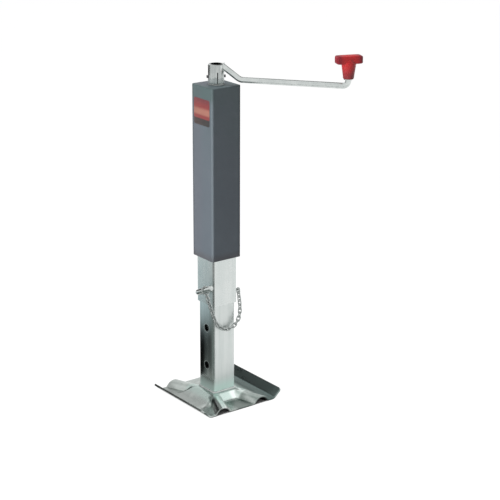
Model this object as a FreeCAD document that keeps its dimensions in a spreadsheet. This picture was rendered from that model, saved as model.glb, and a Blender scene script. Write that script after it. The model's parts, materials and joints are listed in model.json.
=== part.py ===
import FreeCAD, Part
import math
import os
import re

import Sketcher
from FreeCAD import Placement, Rotation, Vector

# Square trailer jack, in millimetres.
# The origin is on the jack's axis at the ground, +Z up. The +Y face of the housing is the one
# that is welded to the trailer, and the locking pin is pulled out towards -X.

SIZES = {
    # Housing: square tube, 3 in, with a welded cap
    "outer_width": 76.2,
    "outer_wall": 4.76,
    "outer_corner": 4.5,
    "outer_bottom": 336.0,
    "outer_length": 380.0,
    "bore_corner": 1.0,
    "cap_thick": 6.0,
    "cap_hole": 13.0,
    "cap_round": 1.5,
    # Ram: square tube, 2.5 in
    "ram_width": 63.5,
    "ram_wall": 3.05,
    "ram_corner": 3.8,
    "ram_bottom": 228.0,
    "ram_length": 420.0,
    # Drop leg: square tube, 2.25 in, with a row of adjusting holes
    "leg_width": 57.1,
    "leg_wall": 4.76,
    "leg_corner": 3.8,
    "leg_bottom": 20.0,
    "leg_length": 350.0,
    "hole_first": 80.0,
    "hole_pitch": 89.5,
    "hole_count": 4,
    "hole_radius": 7.2,
    # Foot plate: stamped sheet
    "foot_sheet": 4.0,
    "foot_fold": 89.0,
    "foot_depth": 195.0,
    "foot_corner": 7.0,
    "wing_reach": 21.0,
    "wing_angle": 42.0,
    "wing_bend": 10.0,
    "dome_top": 68.0,
    "dome_length": 160.0,
    "dome_depth": 112.0,
    "dome_inset": 2.5,
    "rib_start": 22.0,
    "rib_start_out": 25.0,
    "rib_start_half": 13.0,
    "rib_start_rise": 18.5,
    "rib_end_out": 53.0,
    "rib_end_half": 21.0,
    "rib_end_rise": 17.0,
    "weld_leg": 4.5,
    "weld_toe": 0.4,
    # Screw, its nut and its end stop
    "screw_radius": 11.0,
    "screw_bottom": 350.0,
    "screw_shoulder": 686.0,
    "screw_top": 757.0,
    "journal_radius": 9.5,
    "screw_chamfer": 1.5,
    "running_gap": 0.05,
    "nut_bottom": 614.0,
    "nut_height": 30.0,
    "nut_side_gap": 0.2,
    "nut_corner": 3.5,
    "nut_pin_radius": 4.0,
    "nut_pin_depth": 12.0,
    "roll_pin_radius": 2.5,
    "stop_pin_height": 355.0,
    "stop_pin_length": 32.0,
    "stop_bottom": 358.0,
    "stop_thick": 5.0,
    "stop_radius": 18.0,
    # Thrust bearing and collar under the cap
    "race_outer": 23.0,
    "race_inner": 10.2,
    "race_thick": 4.0,
    "ball_radius": 4.0,
    "ball_circle": 16.6,
    "ball_count": 8,
    "ball_gap": 0.35,
    "groove_radius": 4.2,
    "groove_depth": 0.8,
    "cage_thick": 2.4,
    "cage_margin": 0.8,
    "collar_radius": 20.0,
    "collar_height": 12.0,
    "collar_chamfer": 2.0,
    "collar_pin_length": 39.0,
    # Bush on the cap
    "bush_collar": 17.0,
    "bush_rim": 15.5,
    "bush_height": 2.4,
    # Crank hub and its cross pin
    "hub_radius": 17.5,
    "hub_bottom": 725.0,
    "hub_height": 41.0,
    "hub_mouth": 12.0,
    "hub_mouth_depth": 9.5,
    "hub_round": 1.6,
    "hub_slot_width": 2.4,
    "hub_slot_height": 25.0,
    "hub_turn": -25.0,
    "hub_pin_radius": 3.0,
    "hub_pin_length": 41.0,
    "hub_pin_height": 739.0,
    # Crank arm and the spindle at its end
    "arm_turn": -51.0,
    "arm_radius": 6.35,
    "arm_height": 734.0,
    "arm_bend": 12.5,
    "crank_throw": 287.0,
    "neck_angle": 35.5,
    "neck_out": 53.5,
    "neck_bend": 22.0,
    "spindle_radius": 5.0,
    "spindle_top": 789.0,
    "washer_radius": 10.0,
    "washer_thick": 1.5,
    # Knob
    "knob_turn": -21.0,
    "knob_foot": 750.0,
    "knob_gap": 0.3,
    "stem_foot_radius": 11.5,
    "stem_head_radius": 16.0,
    "stem_chamfer": 1.0,
    "bar_bottom": 782.0,
    "bar_height": 17.0,
    "bar_length": 57.0,
    "bar_depth": 24.0,
    "bar_corner": 5.0,
    "bar_round": 3.0,
    "knob_bore_top": 791.0,
    "clip_height": 779.0,
    "clip_thick": 1.6,
    "clip_radius": 6.6,
    "clip_gap": 0.4,
    # Locking pin with its bent handle
    "pin_radius": 6.35,
    "pin_height": 259.0,
    "pin_tip": 41.0,
    "pin_out": 57.0,
    "pin_bend": 14.0,
    "pin_nose": 2.5,
    "handle_length": 66.0,
    "handle_tilt": 25.5,
    # Chain, the ring on the handle and the staple on the ram
    "ring_out": 40.0,
    "ring_radius": 9.5,
    "ring_wire": 1.3,
    "link_count": 25,
    "link_width": 10.4,
    "link_wire": 1.4,
    "link_slack": 1.0,
    "eye_wire": 2.0,
    "eye_half": 6.0,
    "eye_leg": 5.0,
    "eye_side": 22.0,
    "eye_height": 252.0,
}

# The chain hangs slack round the front of the leg: (x, y, z) between the ring and the staple.
CHAIN_ROUTE = [
    (-52.5, -43.5, 247.0),
    (-46.5, -45.0, 227.0),
    (-38.0, -44.0, 205.0),
    (-23.0, -39.0, 184.0),
    (-4.0, -36.5, 172.0),
    (16.0, -37.0, 173.5),
    (31.0, -38.0, 188.0),
    (39.0, -34.0, 208.0),
    (42.5, -27.0, 230.0),
]

doc = FreeCAD.newDocument("TrailerJack")
sheet = doc.addObject("Spreadsheet::Sheet", "Jack")
for row, (alias, number) in enumerate(SIZES.items(), start=1):
    sheet.set(f"A{row}", alias)
    sheet.set(f"B{row}", str(number))
    sheet.setAlias(f"B{row}", alias)
doc.recompute()

nodes = []


def bound(expression):
    """The expression with every size in it read from the sheet."""
    return re.sub(r"[a-z]\w*", lambda word: f"Jack.{word[0]}" if word[0] in SIZES else word[0], expression)


def measure(expression):
    """The expression's present value."""
    return float(sheet.evalExpression(bound(expression)))


def node(thing, label, spin="0", at=("0", "0", "0")):
    """Registers a finished piece under its label, turned about the upright and set at a point."""
    thing.Label = label
    place = Vector(*(measure(one) for one in at))
    thing.Placement = Placement(place, Rotation(Vector(0, 0, 1), measure(spin)))
    nodes.append(thing)
    return thing


def new_body(label):
    return doc.addObject("PartDesign::Body", label)


def sketch_on(body, plane, lift="0"):
    """An empty sketch on one of the body's own planes, lifted along the plane's normal."""
    sketch = body.newObject("Sketcher::SketchObject", f"{body.Name}_sketch")
    support = next(one for one in body.Origin.OriginFeatures if one.Role == plane)
    sketch.AttachmentSupport = [(support, "")]
    sketch.MapMode = "FlatFace"
    sketch.AttachmentOffset = Placement(Vector(0, 0, measure(lift)), Rotation())
    sketch.setExpression("AttachmentOffset.Base.z", bound(lift))
    return sketch


def hold(sketch, line, end, across, up):
    """Ties one end of a line or arc to a point whose coordinates are expressions."""
    for kind, axis, expression in (("DistanceX", -2, across), ("DistanceY", -1, up)):
        size = measure(expression)
        if abs(size) < 1e-9:
            sketch.addConstraint(Sketcher.Constraint("PointOnObject", line, end, axis))
        elif size > 0:
            tie = sketch.addConstraint(Sketcher.Constraint(kind, -1, 1, line, end, size))
            sketch.setExpression(f"Constraints[{tie}]", bound(expression))
        else:
            tie = sketch.addConstraint(Sketcher.Constraint(kind, line, end, -1, 1, -size))
            sketch.setExpression(f"Constraints[{tie}]", bound(f"-({expression})"))


def outline(sketch, corners):
    """A closed outline of straight sides through corners given as pairs of expressions."""
    places = [Vector(measure(across), measure(up), 0) for across, up in corners]
    first = sketch.GeometryCount
    for here, there in zip(places, places[1:] + places[:1]):
        sketch.addGeometry(Part.LineSegment(here, there), False)
    for n, (across, up) in enumerate(corners):
        following = first + (n + 1) % len(corners)
        sketch.addConstraint(Sketcher.Constraint("Coincident", first + n, 2, following, 1))
        hold(sketch, first + n, 1, across, up)


def rectangle(sketch, width, depth):
    """A rectangle centred on the sketch's origin."""
    half_width, half_depth = f"({width}) / 2", f"({depth}) / 2"
    signs = ((-1, -1), (1, -1), (1, 1), (-1, 1))
    outline(sketch, [(f"{x} * {half_width}", f"{y} * {half_depth}") for x, y in signs])


def circle(sketch, radius, across="0", up="0"):
    """A circle of a stated radius about a point."""
    ring = Part.Circle(Vector(measure(across), measure(up), 0), Vector(0, 0, 1), measure(radius))
    number = sketch.addGeometry(ring, False)
    tie = sketch.addConstraint(Sketcher.Constraint("Radius", number, measure(radius)))
    sketch.setExpression(f"Constraints[{tie}]", bound(radius))
    hold(sketch, number, 3, across, up)


def arch(sketch, middle, half, rise):
    """A round-topped arch on the line y = 0: a chord of twice half, and one arc of that rise."""
    x, w, r = measure(middle), measure(half), measure(rise)
    left, right, crown = Vector(x - w, 0, 0), Vector(x + w, 0, 0), Vector(x, r, 0)
    chord = sketch.addGeometry(Part.LineSegment(left, right), False)
    bow = sketch.addGeometry(Part.Arc(right, crown, left), False)
    sketch.addConstraint(Sketcher.Constraint("Coincident", chord, 1, bow, 2))
    sketch.addConstraint(Sketcher.Constraint("Coincident", chord, 2, bow, 1))
    hold(sketch, chord, 1, f"({middle}) - ({half})", "0")
    hold(sketch, chord, 2, f"({middle}) + ({half})", "0")
    tie = sketch.addConstraint(Sketcher.Constraint("Radius", bow, (w * w + r * r) / (2 * r)))
    sketch.setExpression(f"Constraints[{tie}]", bound(f"(({half})^2 + ({rise})^2) / (2 * ({rise}))"))


def pad(body, sketch, length, both_ways=False):
    feature = body.newObject("PartDesign::Pad", f"{body.Name}_pad")
    feature.Profile = sketch
    feature.SideType = "Symmetric" if both_ways else "One side"
    feature.setExpression("Length", bound(length))
    doc.recompute()
    return feature


def cut(body, sketch, length, both_ways=False, turned=False):
    """A pocket of a stated depth, which has to take material away."""
    before = body.Shape.Volume
    feature = body.newObject("PartDesign::Pocket", f"{body.Name}_pocket")
    feature.Profile = sketch
    feature.SideType = "Symmetric" if both_ways else "One side"
    feature.Reversed = turned
    feature.setExpression("Length", bound(length))
    doc.recompute()
    if feature.Shape.Volume > before - 1:
        raise ValueError(f"a pocket of {body.Label} cuts nothing")
    return feature


def turned(body, corners, groove=False):
    """A ring or shaft about the upright axis from half its section, as (radius, height) pairs."""
    sketch = sketch_on(body, "XZ_Plane")
    outline(sketch, corners)
    kind = "Groove" if groove else "Revolution"
    feature = body.newObject(f"PartDesign::{kind}", f"{body.Name}_turned")
    feature.Profile = sketch
    feature.ReferenceAxis = (sketch, ["V_Axis"])
    feature.Angle = 360
    doc.recompute()
    return feature


def loft(body, first, second, hollow=False):
    kind = "SubtractiveLoft" if hollow else "AdditiveLoft"
    feature = body.newObject(f"PartDesign::{kind}", f"{body.Name}_loft")
    feature.Profile = first
    feature.Sections = [second]
    doc.recompute()
    return feature


def dress(body, kind, size, test):
    """A fillet or chamfer on those edges of the body whose two ends pass the test."""
    base = body.Tip
    chosen = []
    for n, edge in enumerate(base.Shape.Edges, start=1):
        ends = [corner.Point for corner in edge.Vertexes]
        if len(ends) == 2 and test(*ends):
            chosen.append(f"Edge{n}")
    feature = body.newObject(f"PartDesign::{kind}", f"{body.Name}_{kind.lower()}")
    feature.Base = (base, chosen)
    feature.setExpression("Radius" if kind == "Fillet" else "Size", bound(size))
    doc.recompute()
    return feature


def upright(here, there):
    return abs(here.x - there.x) < 1e-6 and abs(here.y - there.y) < 1e-6


def square_tube(label, width, wall, corner, bottom, length):
    """A square tube with rounded corners, standing on the height bottom."""
    body = new_body(label)
    sketch = sketch_on(body, "XY_Plane", bottom)
    rectangle(sketch, width, width)
    rectangle(sketch, f"{width} - 2 * {wall}", f"{width} - 2 * {wall}")
    pad(body, sketch, length)
    middle = measure(f"({width} - {wall}) / 2")
    dress(body, "Fillet", corner, lambda a, b: upright(a, b) and abs(a.x) > middle)
    dress(body, "Fillet", "bore_corner", lambda a, b: upright(a, b) and abs(a.x) < middle
          and abs(abs(a.x) - abs(a.y)) < 1e-6)
    return body


def swept_rod(body, path, profile):
    """A round rod along a path that starts at the profile."""
    feature = body.newObject("PartDesign::AdditivePipe", f"{body.Name}_rod")
    feature.Profile = profile
    feature.Spine = path
    feature.Transition = "Transformed"
    doc.recompute()
    return feature


def bent_path(sketch, start, bends, finish):
    """Straight runs joined by tangent arcs: corners are (across, up, radius) between two ends."""
    corners = [start] + [bend[:2] for bend in bends] + [finish]
    slopes = [
        f"atan2(({there[1]}) - ({here[1]}); ({there[0]}) - ({here[0]}))"
        for here, there in zip(corners, corners[1:])
    ]
    stops = [start]
    for (across, up, radius), before, after in zip(bends, slopes, slopes[1:]):
        reach = f"({radius}) * abs(tan(({after} - {before}) / 2))"
        stops.append((f"({across}) - {reach} * cos({before})", f"({up}) - {reach} * sin({before})"))
        stops.append((f"({across}) + {reach} * cos({after})", f"({up}) + {reach} * sin({after})"))
    stops.append(finish)
    spots = [Vector(measure(across), measure(up), 0) for across, up in stops]
    lines = []
    for n in range(0, len(stops), 2):
        line = sketch.addGeometry(Part.LineSegment(spots[n], spots[n + 1]), False)
        hold(sketch, line, 1, *stops[n])
        hold(sketch, line, 2, *stops[n + 1])
        lines.append(line)
    for n, (across, up, radius) in enumerate(bends):
        opens, closes = spots[2 * n + 1], spots[2 * n + 2]
        corner = Vector(measure(across), measure(up), 0)
        size = measure(radius)
        depth = math.hypot(size, (opens - corner).Length) - size
        crown = corner + ((opens + closes) * 0.5 - corner).normalize() * depth
        leftward = (corner - opens).cross(closes - corner).z > 0
        bow = Part.Arc(opens, crown, closes) if leftward else Part.Arc(closes, crown, opens)
        arc = sketch.addGeometry(bow, False)
        first, last = (1, 2) if leftward else (2, 1)
        sketch.addConstraint(Sketcher.Constraint("Coincident", lines[n], 2, arc, first))
        sketch.addConstraint(Sketcher.Constraint("Coincident", lines[n + 1], 1, arc, last))
        tie = sketch.addConstraint(Sketcher.Constraint("Radius", arc, size))
        sketch.setExpression(f"Constraints[{tie}]", bound(radius))


def outer_tube():
    """The housing: square tube, open below."""
    node(square_tube("outer_tube", "outer_width", "outer_wall", "outer_corner", "outer_bottom",
                     "outer_length"), "outer_tube")


CAP_BOTTOM = "outer_bottom + outer_length"
CAP_TOP = "outer_bottom + outer_length + cap_thick"


def top_cap():
    """The plate that closes the housing, with a hole for the bush."""
    body = new_body("top_cap")
    sketch = sketch_on(body, "XY_Plane", CAP_BOTTOM)
    rectangle(sketch, "outer_width", "outer_width")
    circle(sketch, "cap_hole")
    pad(body, sketch, "cap_thick")
    dress(body, "Fillet", "outer_corner", upright)
    top = measure(CAP_TOP)
    dress(body, "Fillet", "cap_round", lambda a, b: min(a.z, b.z) > top - 1e-6)
    node(body, "top_cap")


def cap_bushing():
    """A bush pressed into the cap, with a low tapered collar on top, under the hub."""
    body = new_body("cap_bushing")
    bore = "journal_radius + running_gap"
    turned(body, [
        (bore, CAP_BOTTOM),
        ("cap_hole", CAP_BOTTOM),
        ("cap_hole", CAP_TOP),
        ("bush_collar", CAP_TOP),
        ("bush_collar", f"{CAP_TOP} + bush_height / 3"),
        ("bush_rim", f"{CAP_TOP} + bush_height"),
        (bore, f"{CAP_TOP} + bush_height"),
    ])
    node(body, "cap_bushing")


UPPER_RACE_FACE = f"{CAP_BOTTOM} - race_thick"
BALL_HEIGHT = f"{UPPER_RACE_FACE} + groove_depth - ball_gap - ball_radius"
LOWER_RACE_FACE = f"{BALL_HEIGHT} - ball_radius + groove_depth - running_gap"
LOWER_RACE_BACK = f"{LOWER_RACE_FACE} - race_thick"
COLLAR_BOTTOM = f"{LOWER_RACE_BACK} - collar_height"
COLLAR_MIDDLE = f"{COLLAR_BOTTOM} + collar_height / 2"


def race(label, face, back):
    """A bearing washer with a round ball track turned into its face."""
    body = new_body(label)
    turned(body, [("race_inner", back), ("race_outer", back), ("race_outer", face), ("race_inner", face)])
    before = body.Shape.Volume
    side = "1" if measure(face) < measure(back) else "-1"
    sketch = sketch_on(body, "XZ_Plane")
    circle(sketch, "groove_radius", "ball_circle", f"{face} - {side} * (groove_radius - groove_depth)")
    track = body.newObject("PartDesign::Groove", f"{label}_track")
    track.Profile = sketch
    track.ReferenceAxis = (sketch, ["V_Axis"])
    track.Angle = 360
    doc.recompute()
    if body.Shape.Volume > before - 1:
        raise ValueError(f"{label} has no ball track")
    node(body, label)


def bearing_balls():
    """The bearing's balls, evenly round the screw."""
    balls = []
    for n in range(int(SIZES["ball_count"])):
        ball = doc.addObject("Part::Sphere", "ball")
        ball.setExpression("Radius", bound("ball_radius"))
        angle = f"{n} * 360 / ball_count"
        ball.setExpression("Placement.Base.x", bound(f"ball_circle * cos({angle})"))
        ball.setExpression("Placement.Base.y", bound(f"ball_circle * sin({angle})"))
        ball.setExpression("Placement.Base.z", bound(BALL_HEIGHT))
        balls.append(ball)
    group = doc.addObject("Part::Compound", "bearing_balls")
    group.Links = balls
    node(group, "bearing_balls")


def ball_cage():
    """The flat ring that spaces the balls."""
    body = new_body("ball_cage")
    sketch = sketch_on(body, "XY_Plane", f"{BALL_HEIGHT} - cage_thick / 2")
    circle(sketch, "race_outer - cage_margin")
    circle(sketch, "race_inner + cage_margin")
    for n in range(int(SIZES["ball_count"])):
        angle = f"{n} * 360 / ball_count"
        place = (f"ball_circle * cos({angle})", f"ball_circle * sin({angle})")
        circle(sketch, "ball_radius + running_gap", *place)
    pad(body, sketch, "cage_thick")
    node(body, "ball_cage")


def cross_pin(label, radius, length, height):
    """A plain pin lying across the screw."""
    body = new_body(label)
    sketch = sketch_on(body, "YZ_Plane")
    circle(sketch, radius, "0", height)
    pad(body, sketch, length, both_ways=True)
    node(body, label, spin="hub_turn")


def cross_hole(body, radius, height):
    """A hole right through a turned piece, along its X."""
    sketch = sketch_on(body, "YZ_Plane")
    circle(sketch, radius, "0", height)
    cut(body, sketch, "4 * hub_radius", both_ways=True)


def thrust_collar():
    """The collar that hands the screw's load to the bearing, pinned to the screw."""
    body = new_body("thrust_collar")
    turned(body, [
        ("journal_radius", COLLAR_BOTTOM),
        ("collar_radius - collar_chamfer", COLLAR_BOTTOM),
        ("collar_radius", f"{COLLAR_BOTTOM} + collar_chamfer"),
        ("collar_radius", LOWER_RACE_BACK),
        ("journal_radius", LOWER_RACE_BACK),
    ])
    cross_hole(body, "roll_pin_radius", COLLAR_MIDDLE)
    node(body, "thrust_collar", spin="hub_turn")
    cross_pin("collar_pin", "roll_pin_radius", "collar_pin_length", COLLAR_MIDDLE)


def lead_screw():
    """The screw: threaded length below, journal above, a drilled neck at its lower end."""
    body = new_body("lead_screw")
    turned(body, [
        ("0", "screw_bottom"),
        ("journal_radius - screw_chamfer", "screw_bottom"),
        ("journal_radius", "screw_bottom + screw_chamfer"),
        ("journal_radius", "stop_bottom + stop_thick"),
        ("screw_radius", "stop_bottom + stop_thick"),
        ("screw_radius", "screw_shoulder"),
        ("journal_radius", "screw_shoulder"),
        ("journal_radius", "screw_top - screw_chamfer"),
        ("journal_radius - screw_chamfer", "screw_top"),
        ("0", "screw_top"),
    ])
    cross_hole(body, "hub_pin_radius", "hub_pin_height")
    cross_hole(body, "roll_pin_radius", COLLAR_MIDDLE)
    cross_hole(body, "roll_pin_radius", "stop_pin_height")
    node(body, "lead_screw", spin="hub_turn")


def end_stop():
    """Washer and roll pin that keep the ram from running off the screw."""
    body = new_body("stop_washer")
    turned(body, [
        ("journal_radius", "stop_bottom"),
        ("stop_radius", "stop_bottom"),
        ("stop_radius", "stop_bottom + stop_thick"),
        ("journal_radius", "stop_bottom + stop_thick"),
    ])
    node(body, "stop_washer")
    cross_pin("stop_pin", "roll_pin_radius", "stop_pin_length", "stop_pin_height")


def crank_hub():
    """The sleeve on the screw's end: open at the top, slit at the front, pinned across."""
    body = new_body("crank_hub")
    top = "hub_bottom + hub_height"
    turned(body, [
        ("journal_radius", "hub_bottom"),
        ("hub_radius - hub_round", "hub_bottom"),
        ("hub_radius", "hub_bottom + hub_round"),
        ("hub_radius", f"{top} - hub_round"),
        ("hub_radius - hub_round", top),
        ("hub_mouth", top),
        ("hub_mouth", f"{top} - hub_mouth_depth"),
        ("journal_radius", f"{top} - hub_mouth_depth"),
    ])
    cross_hole(body, "hub_pin_radius", "hub_pin_height")
    slot = sketch_on(body, "XZ_Plane")
    outline(slot, [
        ("-hub_slot_width / 2", "hub_bottom - hub_round"),
        ("hub_slot_width / 2", "hub_bottom - hub_round"),
        ("hub_slot_width / 2", "hub_bottom + hub_slot_height"),
        ("-hub_slot_width / 2", "hub_bottom + hub_slot_height"),
    ])
    cut(body, slot, "2 * hub_radius", turned=True)
    node(body, "crank_hub", spin="hub_turn")
    cross_pin("hub_pin", "hub_pin_radius", "hub_pin_length", "hub_pin_height")


SHOULDER = "knob_foot - knob_gap - washer_thick"


def crank_arm():
    """A bent rod welded to the hub: down the neck, level to the crank's throw, up into the spindle."""
    body = new_body("crank_arm")
    path = sketch_on(body, "XZ_Plane")
    bent_path(
        path,
        ("crank_throw", SHOULDER),
        [("crank_throw", "arm_height", "arm_bend"), ("neck_out", "arm_height", "neck_bend")],
        ("hub_radius / 2", "arm_height + (neck_out - hub_radius / 2) * tan(neck_angle)"),
    )
    profile = sketch_on(body, "XY_Plane", SHOULDER)
    circle(profile, "arm_radius", "crank_throw")
    swept_rod(body, path, profile)
    spindle = sketch_on(body, "XY_Plane", SHOULDER)
    circle(spindle, "spindle_radius", "crank_throw")
    pad(body, spindle, f"spindle_top - ({SHOULDER})")
    cope = sketch_on(body, "XY_Plane", "hub_bottom - hub_height")
    circle(cope, "hub_radius")
    cut(body, cope, "3 * hub_height", turned=True)
    node(body, "crank_arm", spin="arm_turn")


KNOB_PLACE = ("crank_throw * cos(arm_turn)", "crank_throw * sin(arm_turn)", "0")


def spindle_ring(label, inner, outer, bottom, thick):
    """A flat ring on the spindle."""
    body = new_body(label)
    top = f"{bottom} + {thick}"
    turned(body, [(inner, bottom), (outer, bottom), (outer, top), (inner, top)])
    node(body, label, at=KNOB_PLACE)


def crank_knob():
    """The T-shaped knob: a tapered stem that swells into a rounded bar, bored from below for the spindle."""
    body = new_body("crank_knob")
    bar = sketch_on(body, "XY_Plane", "bar_bottom")
    rectangle(bar, "bar_length", "bar_depth")
    pad(body, bar, "bar_height")
    low, high = measure("bar_bottom"), measure("bar_bottom + bar_height")
    dress(body, "Fillet", "bar_corner", upright)
    dress(body, "Fillet", "bar_round", lambda a, b: min(a.z, b.z) > high - 1e-6)
    dress(body, "Fillet", "bar_round", lambda a, b: max(a.z, b.z) < low + 1e-6)
    turned(body, [
        ("0", "knob_foot"),
        ("stem_foot_radius - stem_chamfer", "knob_foot"),
        ("stem_foot_radius", "knob_foot + stem_chamfer"),
        ("stem_head_radius", "bar_bottom"),
        ("bar_depth / 2", "bar_bottom + 2 * bar_height / 3"),
        ("0", "bar_bottom + 2 * bar_height / 3"),
    ])
    bore = "spindle_radius + running_gap"
    turned(body, [
        ("0", "knob_foot - stem_chamfer"),
        (bore, "knob_foot - stem_chamfer"),
        (bore, "clip_height - clip_gap"),
        ("clip_radius + clip_gap", "clip_height - clip_gap"),
        ("clip_radius + clip_gap", "clip_height + clip_thick + clip_gap"),
        (bore, "clip_height + clip_thick + clip_gap"),
        (bore, "knob_bore_top"),
        ("0", "knob_bore_top"),
    ], groove=True)
    node(body, "crank_knob", spin="knob_turn", at=KNOB_PLACE)


def ram_tube():
    """The ram: square tube with pin holes below and the nut's pin holes above."""
    body = square_tube("ram_tube", "ram_width", "ram_wall", "ram_corner", "ram_bottom", "ram_length")
    for plane, radius, height in (
        ("YZ_Plane", "hole_radius", "pin_height"),
        ("XZ_Plane", "nut_pin_radius", "nut_bottom + nut_height / 2"),
    ):
        sketch = sketch_on(body, plane)
        circle(sketch, radius, "0", height)
        cut(body, sketch, "2 * ram_width", both_ways=True)
    node(body, "ram_tube")


def ram_nut():
    """The square nut in the top of the ram, drilled at front and back for its pins."""
    body = new_body("ram_nut")
    side = "ram_width - 2 * ram_wall - 2 * nut_side_gap"
    sketch = sketch_on(body, "XY_Plane", "nut_bottom")
    rectangle(sketch, side, side)
    circle(sketch, "screw_radius + running_gap")
    pad(body, sketch, "nut_height")
    dress(body, "Fillet", "nut_corner", lambda a, b: upright(a, b) and abs(abs(a.x) - abs(a.y)) < 1e-6)
    for away, turned_round in (("1", False), ("-1", True)):
        sketch = sketch_on(body, "XZ_Plane", f"{away} * ({side}) / 2")
        circle(sketch, "nut_pin_radius", "0", "nut_bottom + nut_height / 2")
        cut(body, sketch, "nut_pin_depth", turned=turned_round)
    node(body, "ram_nut")
    pins = []
    for facing in (1, -1):
        pin = doc.addObject("Part::Cylinder", "nut_pin")
        pin.setExpression("Radius", bound("nut_pin_radius"))
        pin.setExpression("Height", bound("nut_pin_depth + nut_side_gap + ram_wall"))
        inner = Vector(0, facing * measure("ram_width / 2 - ram_wall - nut_side_gap - nut_pin_depth"),
                       measure("nut_bottom + nut_height / 2"))
        pin.Placement = Placement(inner, Rotation(Vector(0, 0, 1), Vector(0, facing, 0)))
        pins.append(pin)
    group = doc.addObject("Part::Compound", "nut_pins")
    group.Links = pins
    node(group, "nut_pins")


def drop_leg():
    """The drop leg: square tube with a row of adjusting holes through two faces."""
    body = square_tube("drop_leg", "leg_width", "leg_wall", "leg_corner", "leg_bottom", "leg_length")
    sketch = sketch_on(body, "YZ_Plane")
    circle(sketch, "hole_radius", "0", "hole_first")
    hole = cut(body, sketch, "2 * leg_width", both_ways=True)
    before = body.Shape.Volume
    row = body.newObject("PartDesign::LinearPattern", "drop_leg_holes")
    row.Originals = [hole]
    row.Direction = (sketch, ["V_Axis"])
    row.Occurrences = int(SIZES["hole_count"])
    row.setExpression("Length", bound("hole_pitch * (hole_count - 1)"))
    body.Tip = row
    doc.recompute()
    if body.Shape.Volume > before - 1:
        raise ValueError("the drop leg's row of holes is missing")
    node(body, "drop_leg")


def foot_plate():
    """The stamped foot: flat sheet with two turned-up ends, a hollow raised seat and four hollow ribs."""
    body = new_body("foot_plate")
    tip = "foot_fold + wing_reach"
    rise = "wing_reach * tan(wing_angle)"
    lower = [("foot_fold", "0"), (tip, rise)]
    upper = [
        (f"{tip} - foot_sheet * sin(wing_angle)", f"{rise} + foot_sheet * cos(wing_angle)"),
        ("foot_fold - foot_sheet * tan(wing_angle / 2)", "foot_sheet"),
    ]
    right = lower + upper
    left = [(f"-({across})", up) for across, up in reversed(right)]
    section = sketch_on(body, "XZ_Plane")
    outline(section, right + left)
    pad(body, section, "foot_depth", both_ways=True)
    high, edge = measure(f"{rise} / 2"), measure("foot_depth / 2")
    fold, inner = measure("foot_fold"), measure(upper[1][0])
    dress(body, "Fillet", "wing_bend + foot_sheet", lambda a, b: abs(a.x - b.x) < 1e-6
          and abs(abs(a.x) - fold) < 1e-6 and a.z + b.z < 1e-6)
    dress(body, "Fillet", "wing_bend", lambda a, b: abs(a.x - b.x) < 1e-6
          and abs(abs(a.x) - inner) < 1e-6 and abs(a.y - b.y) > edge)
    dress(body, "Fillet", "foot_corner", lambda a, b: abs(a.y - b.y) < 1e-6
          and abs(a.x - b.x) > 1 and min(a.z, b.z) > high)
    for hollow in (False, True):
        skin = "foot_sheet" if hollow else "0"
        seat = sketch_on(body, "XY_Plane", f"leg_bottom - {skin}")
        rectangle(seat, f"dome_top - {skin}", f"dome_top - {skin}")
        base = sketch_on(body, "XY_Plane", "0")
        rectangle(base, f"dome_length - 2 * dome_inset * {skin}", f"dome_depth - 2 * {skin}")
        loft(body, seat, base, hollow)
        for away in ("1", "-1"):
            for out in ("1", "-1"):
                near = sketch_on(body, "XZ_Plane", f"{away} * rib_start")
                arch(near, f"{out} * rib_start_out", f"rib_start_half - {skin}", f"rib_start_rise - {skin}")
                far = sketch_on(body, "XZ_Plane", f"{away} * foot_depth / 2")
                arch(far, f"{out} * rib_end_out", f"rib_end_half - {skin}", f"rib_end_rise - {skin}")
                loft(body, near, far, hollow)
    node(body, "foot_plate")


def leg_weld():
    """A fillet weld of triangular section round the drop leg, on the foot's seat."""
    body = new_body("leg_weld")
    sketch = sketch_on(body, "XY_Plane", "leg_bottom")
    rectangle(sketch, "leg_width + 2 * weld_leg", "leg_width + 2 * weld_leg")
    rectangle(sketch, "leg_width", "leg_width")
    pad(body, sketch, "weld_leg")
    middle = measure("(leg_width + weld_leg) / 2")
    top = measure("leg_bottom + weld_leg")
    dress(body, "Fillet", "leg_corner", lambda a, b: upright(a, b) and abs(a.x) < middle)
    dress(body, "Fillet", "leg_corner + weld_leg", lambda a, b: upright(a, b) and abs(a.x) > middle
          and abs(abs(a.x) - abs(a.y)) < 1e-6)
    dress(body, "Chamfer", "weld_leg - weld_toe", lambda a, b: min(a.z, b.z) > top - 1e-6
          and max(abs(a.x), abs(a.y), abs(b.x), abs(b.y)) > middle)
    node(body, "leg_weld")


def lock_pin():
    """The locking pin: a rod through ram and leg whose outer end is bent into a tilted handle."""
    body = new_body("lock_pin")
    path = sketch_on(body, "XY_Plane")
    bent_path(path, ("pin_tip", "0"), [("-pin_out", "0", "pin_bend")], ("-pin_out", "handle_length"))
    profile = sketch_on(body, "YZ_Plane", "pin_tip")
    circle(profile, "pin_radius")
    swept_rod(body, path, profile)
    tip, end = measure("pin_tip"), measure("handle_length")
    rod = body.Tip
    rims = []
    for n, edge in enumerate(rod.Shape.Edges, start=1):
        middle = edge.CenterOfMass
        if edge.Closed and (abs(middle.x - tip) < 1e-4 or abs(middle.y - end) < 1e-4):
            rims.append(f"Edge{n}")
    nose = body.newObject("PartDesign::Chamfer", "lock_pin_nose")
    nose.Base = (rod, rims)
    nose.setExpression("Size", bound("pin_nose"))
    doc.recompute()
    node(body, "lock_pin")
    tilt = Rotation(Vector(1, 0, 0), 180 - measure("handle_tilt"))
    body.Placement = Placement(Vector(0, 0, measure("pin_height")), tilt)


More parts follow.
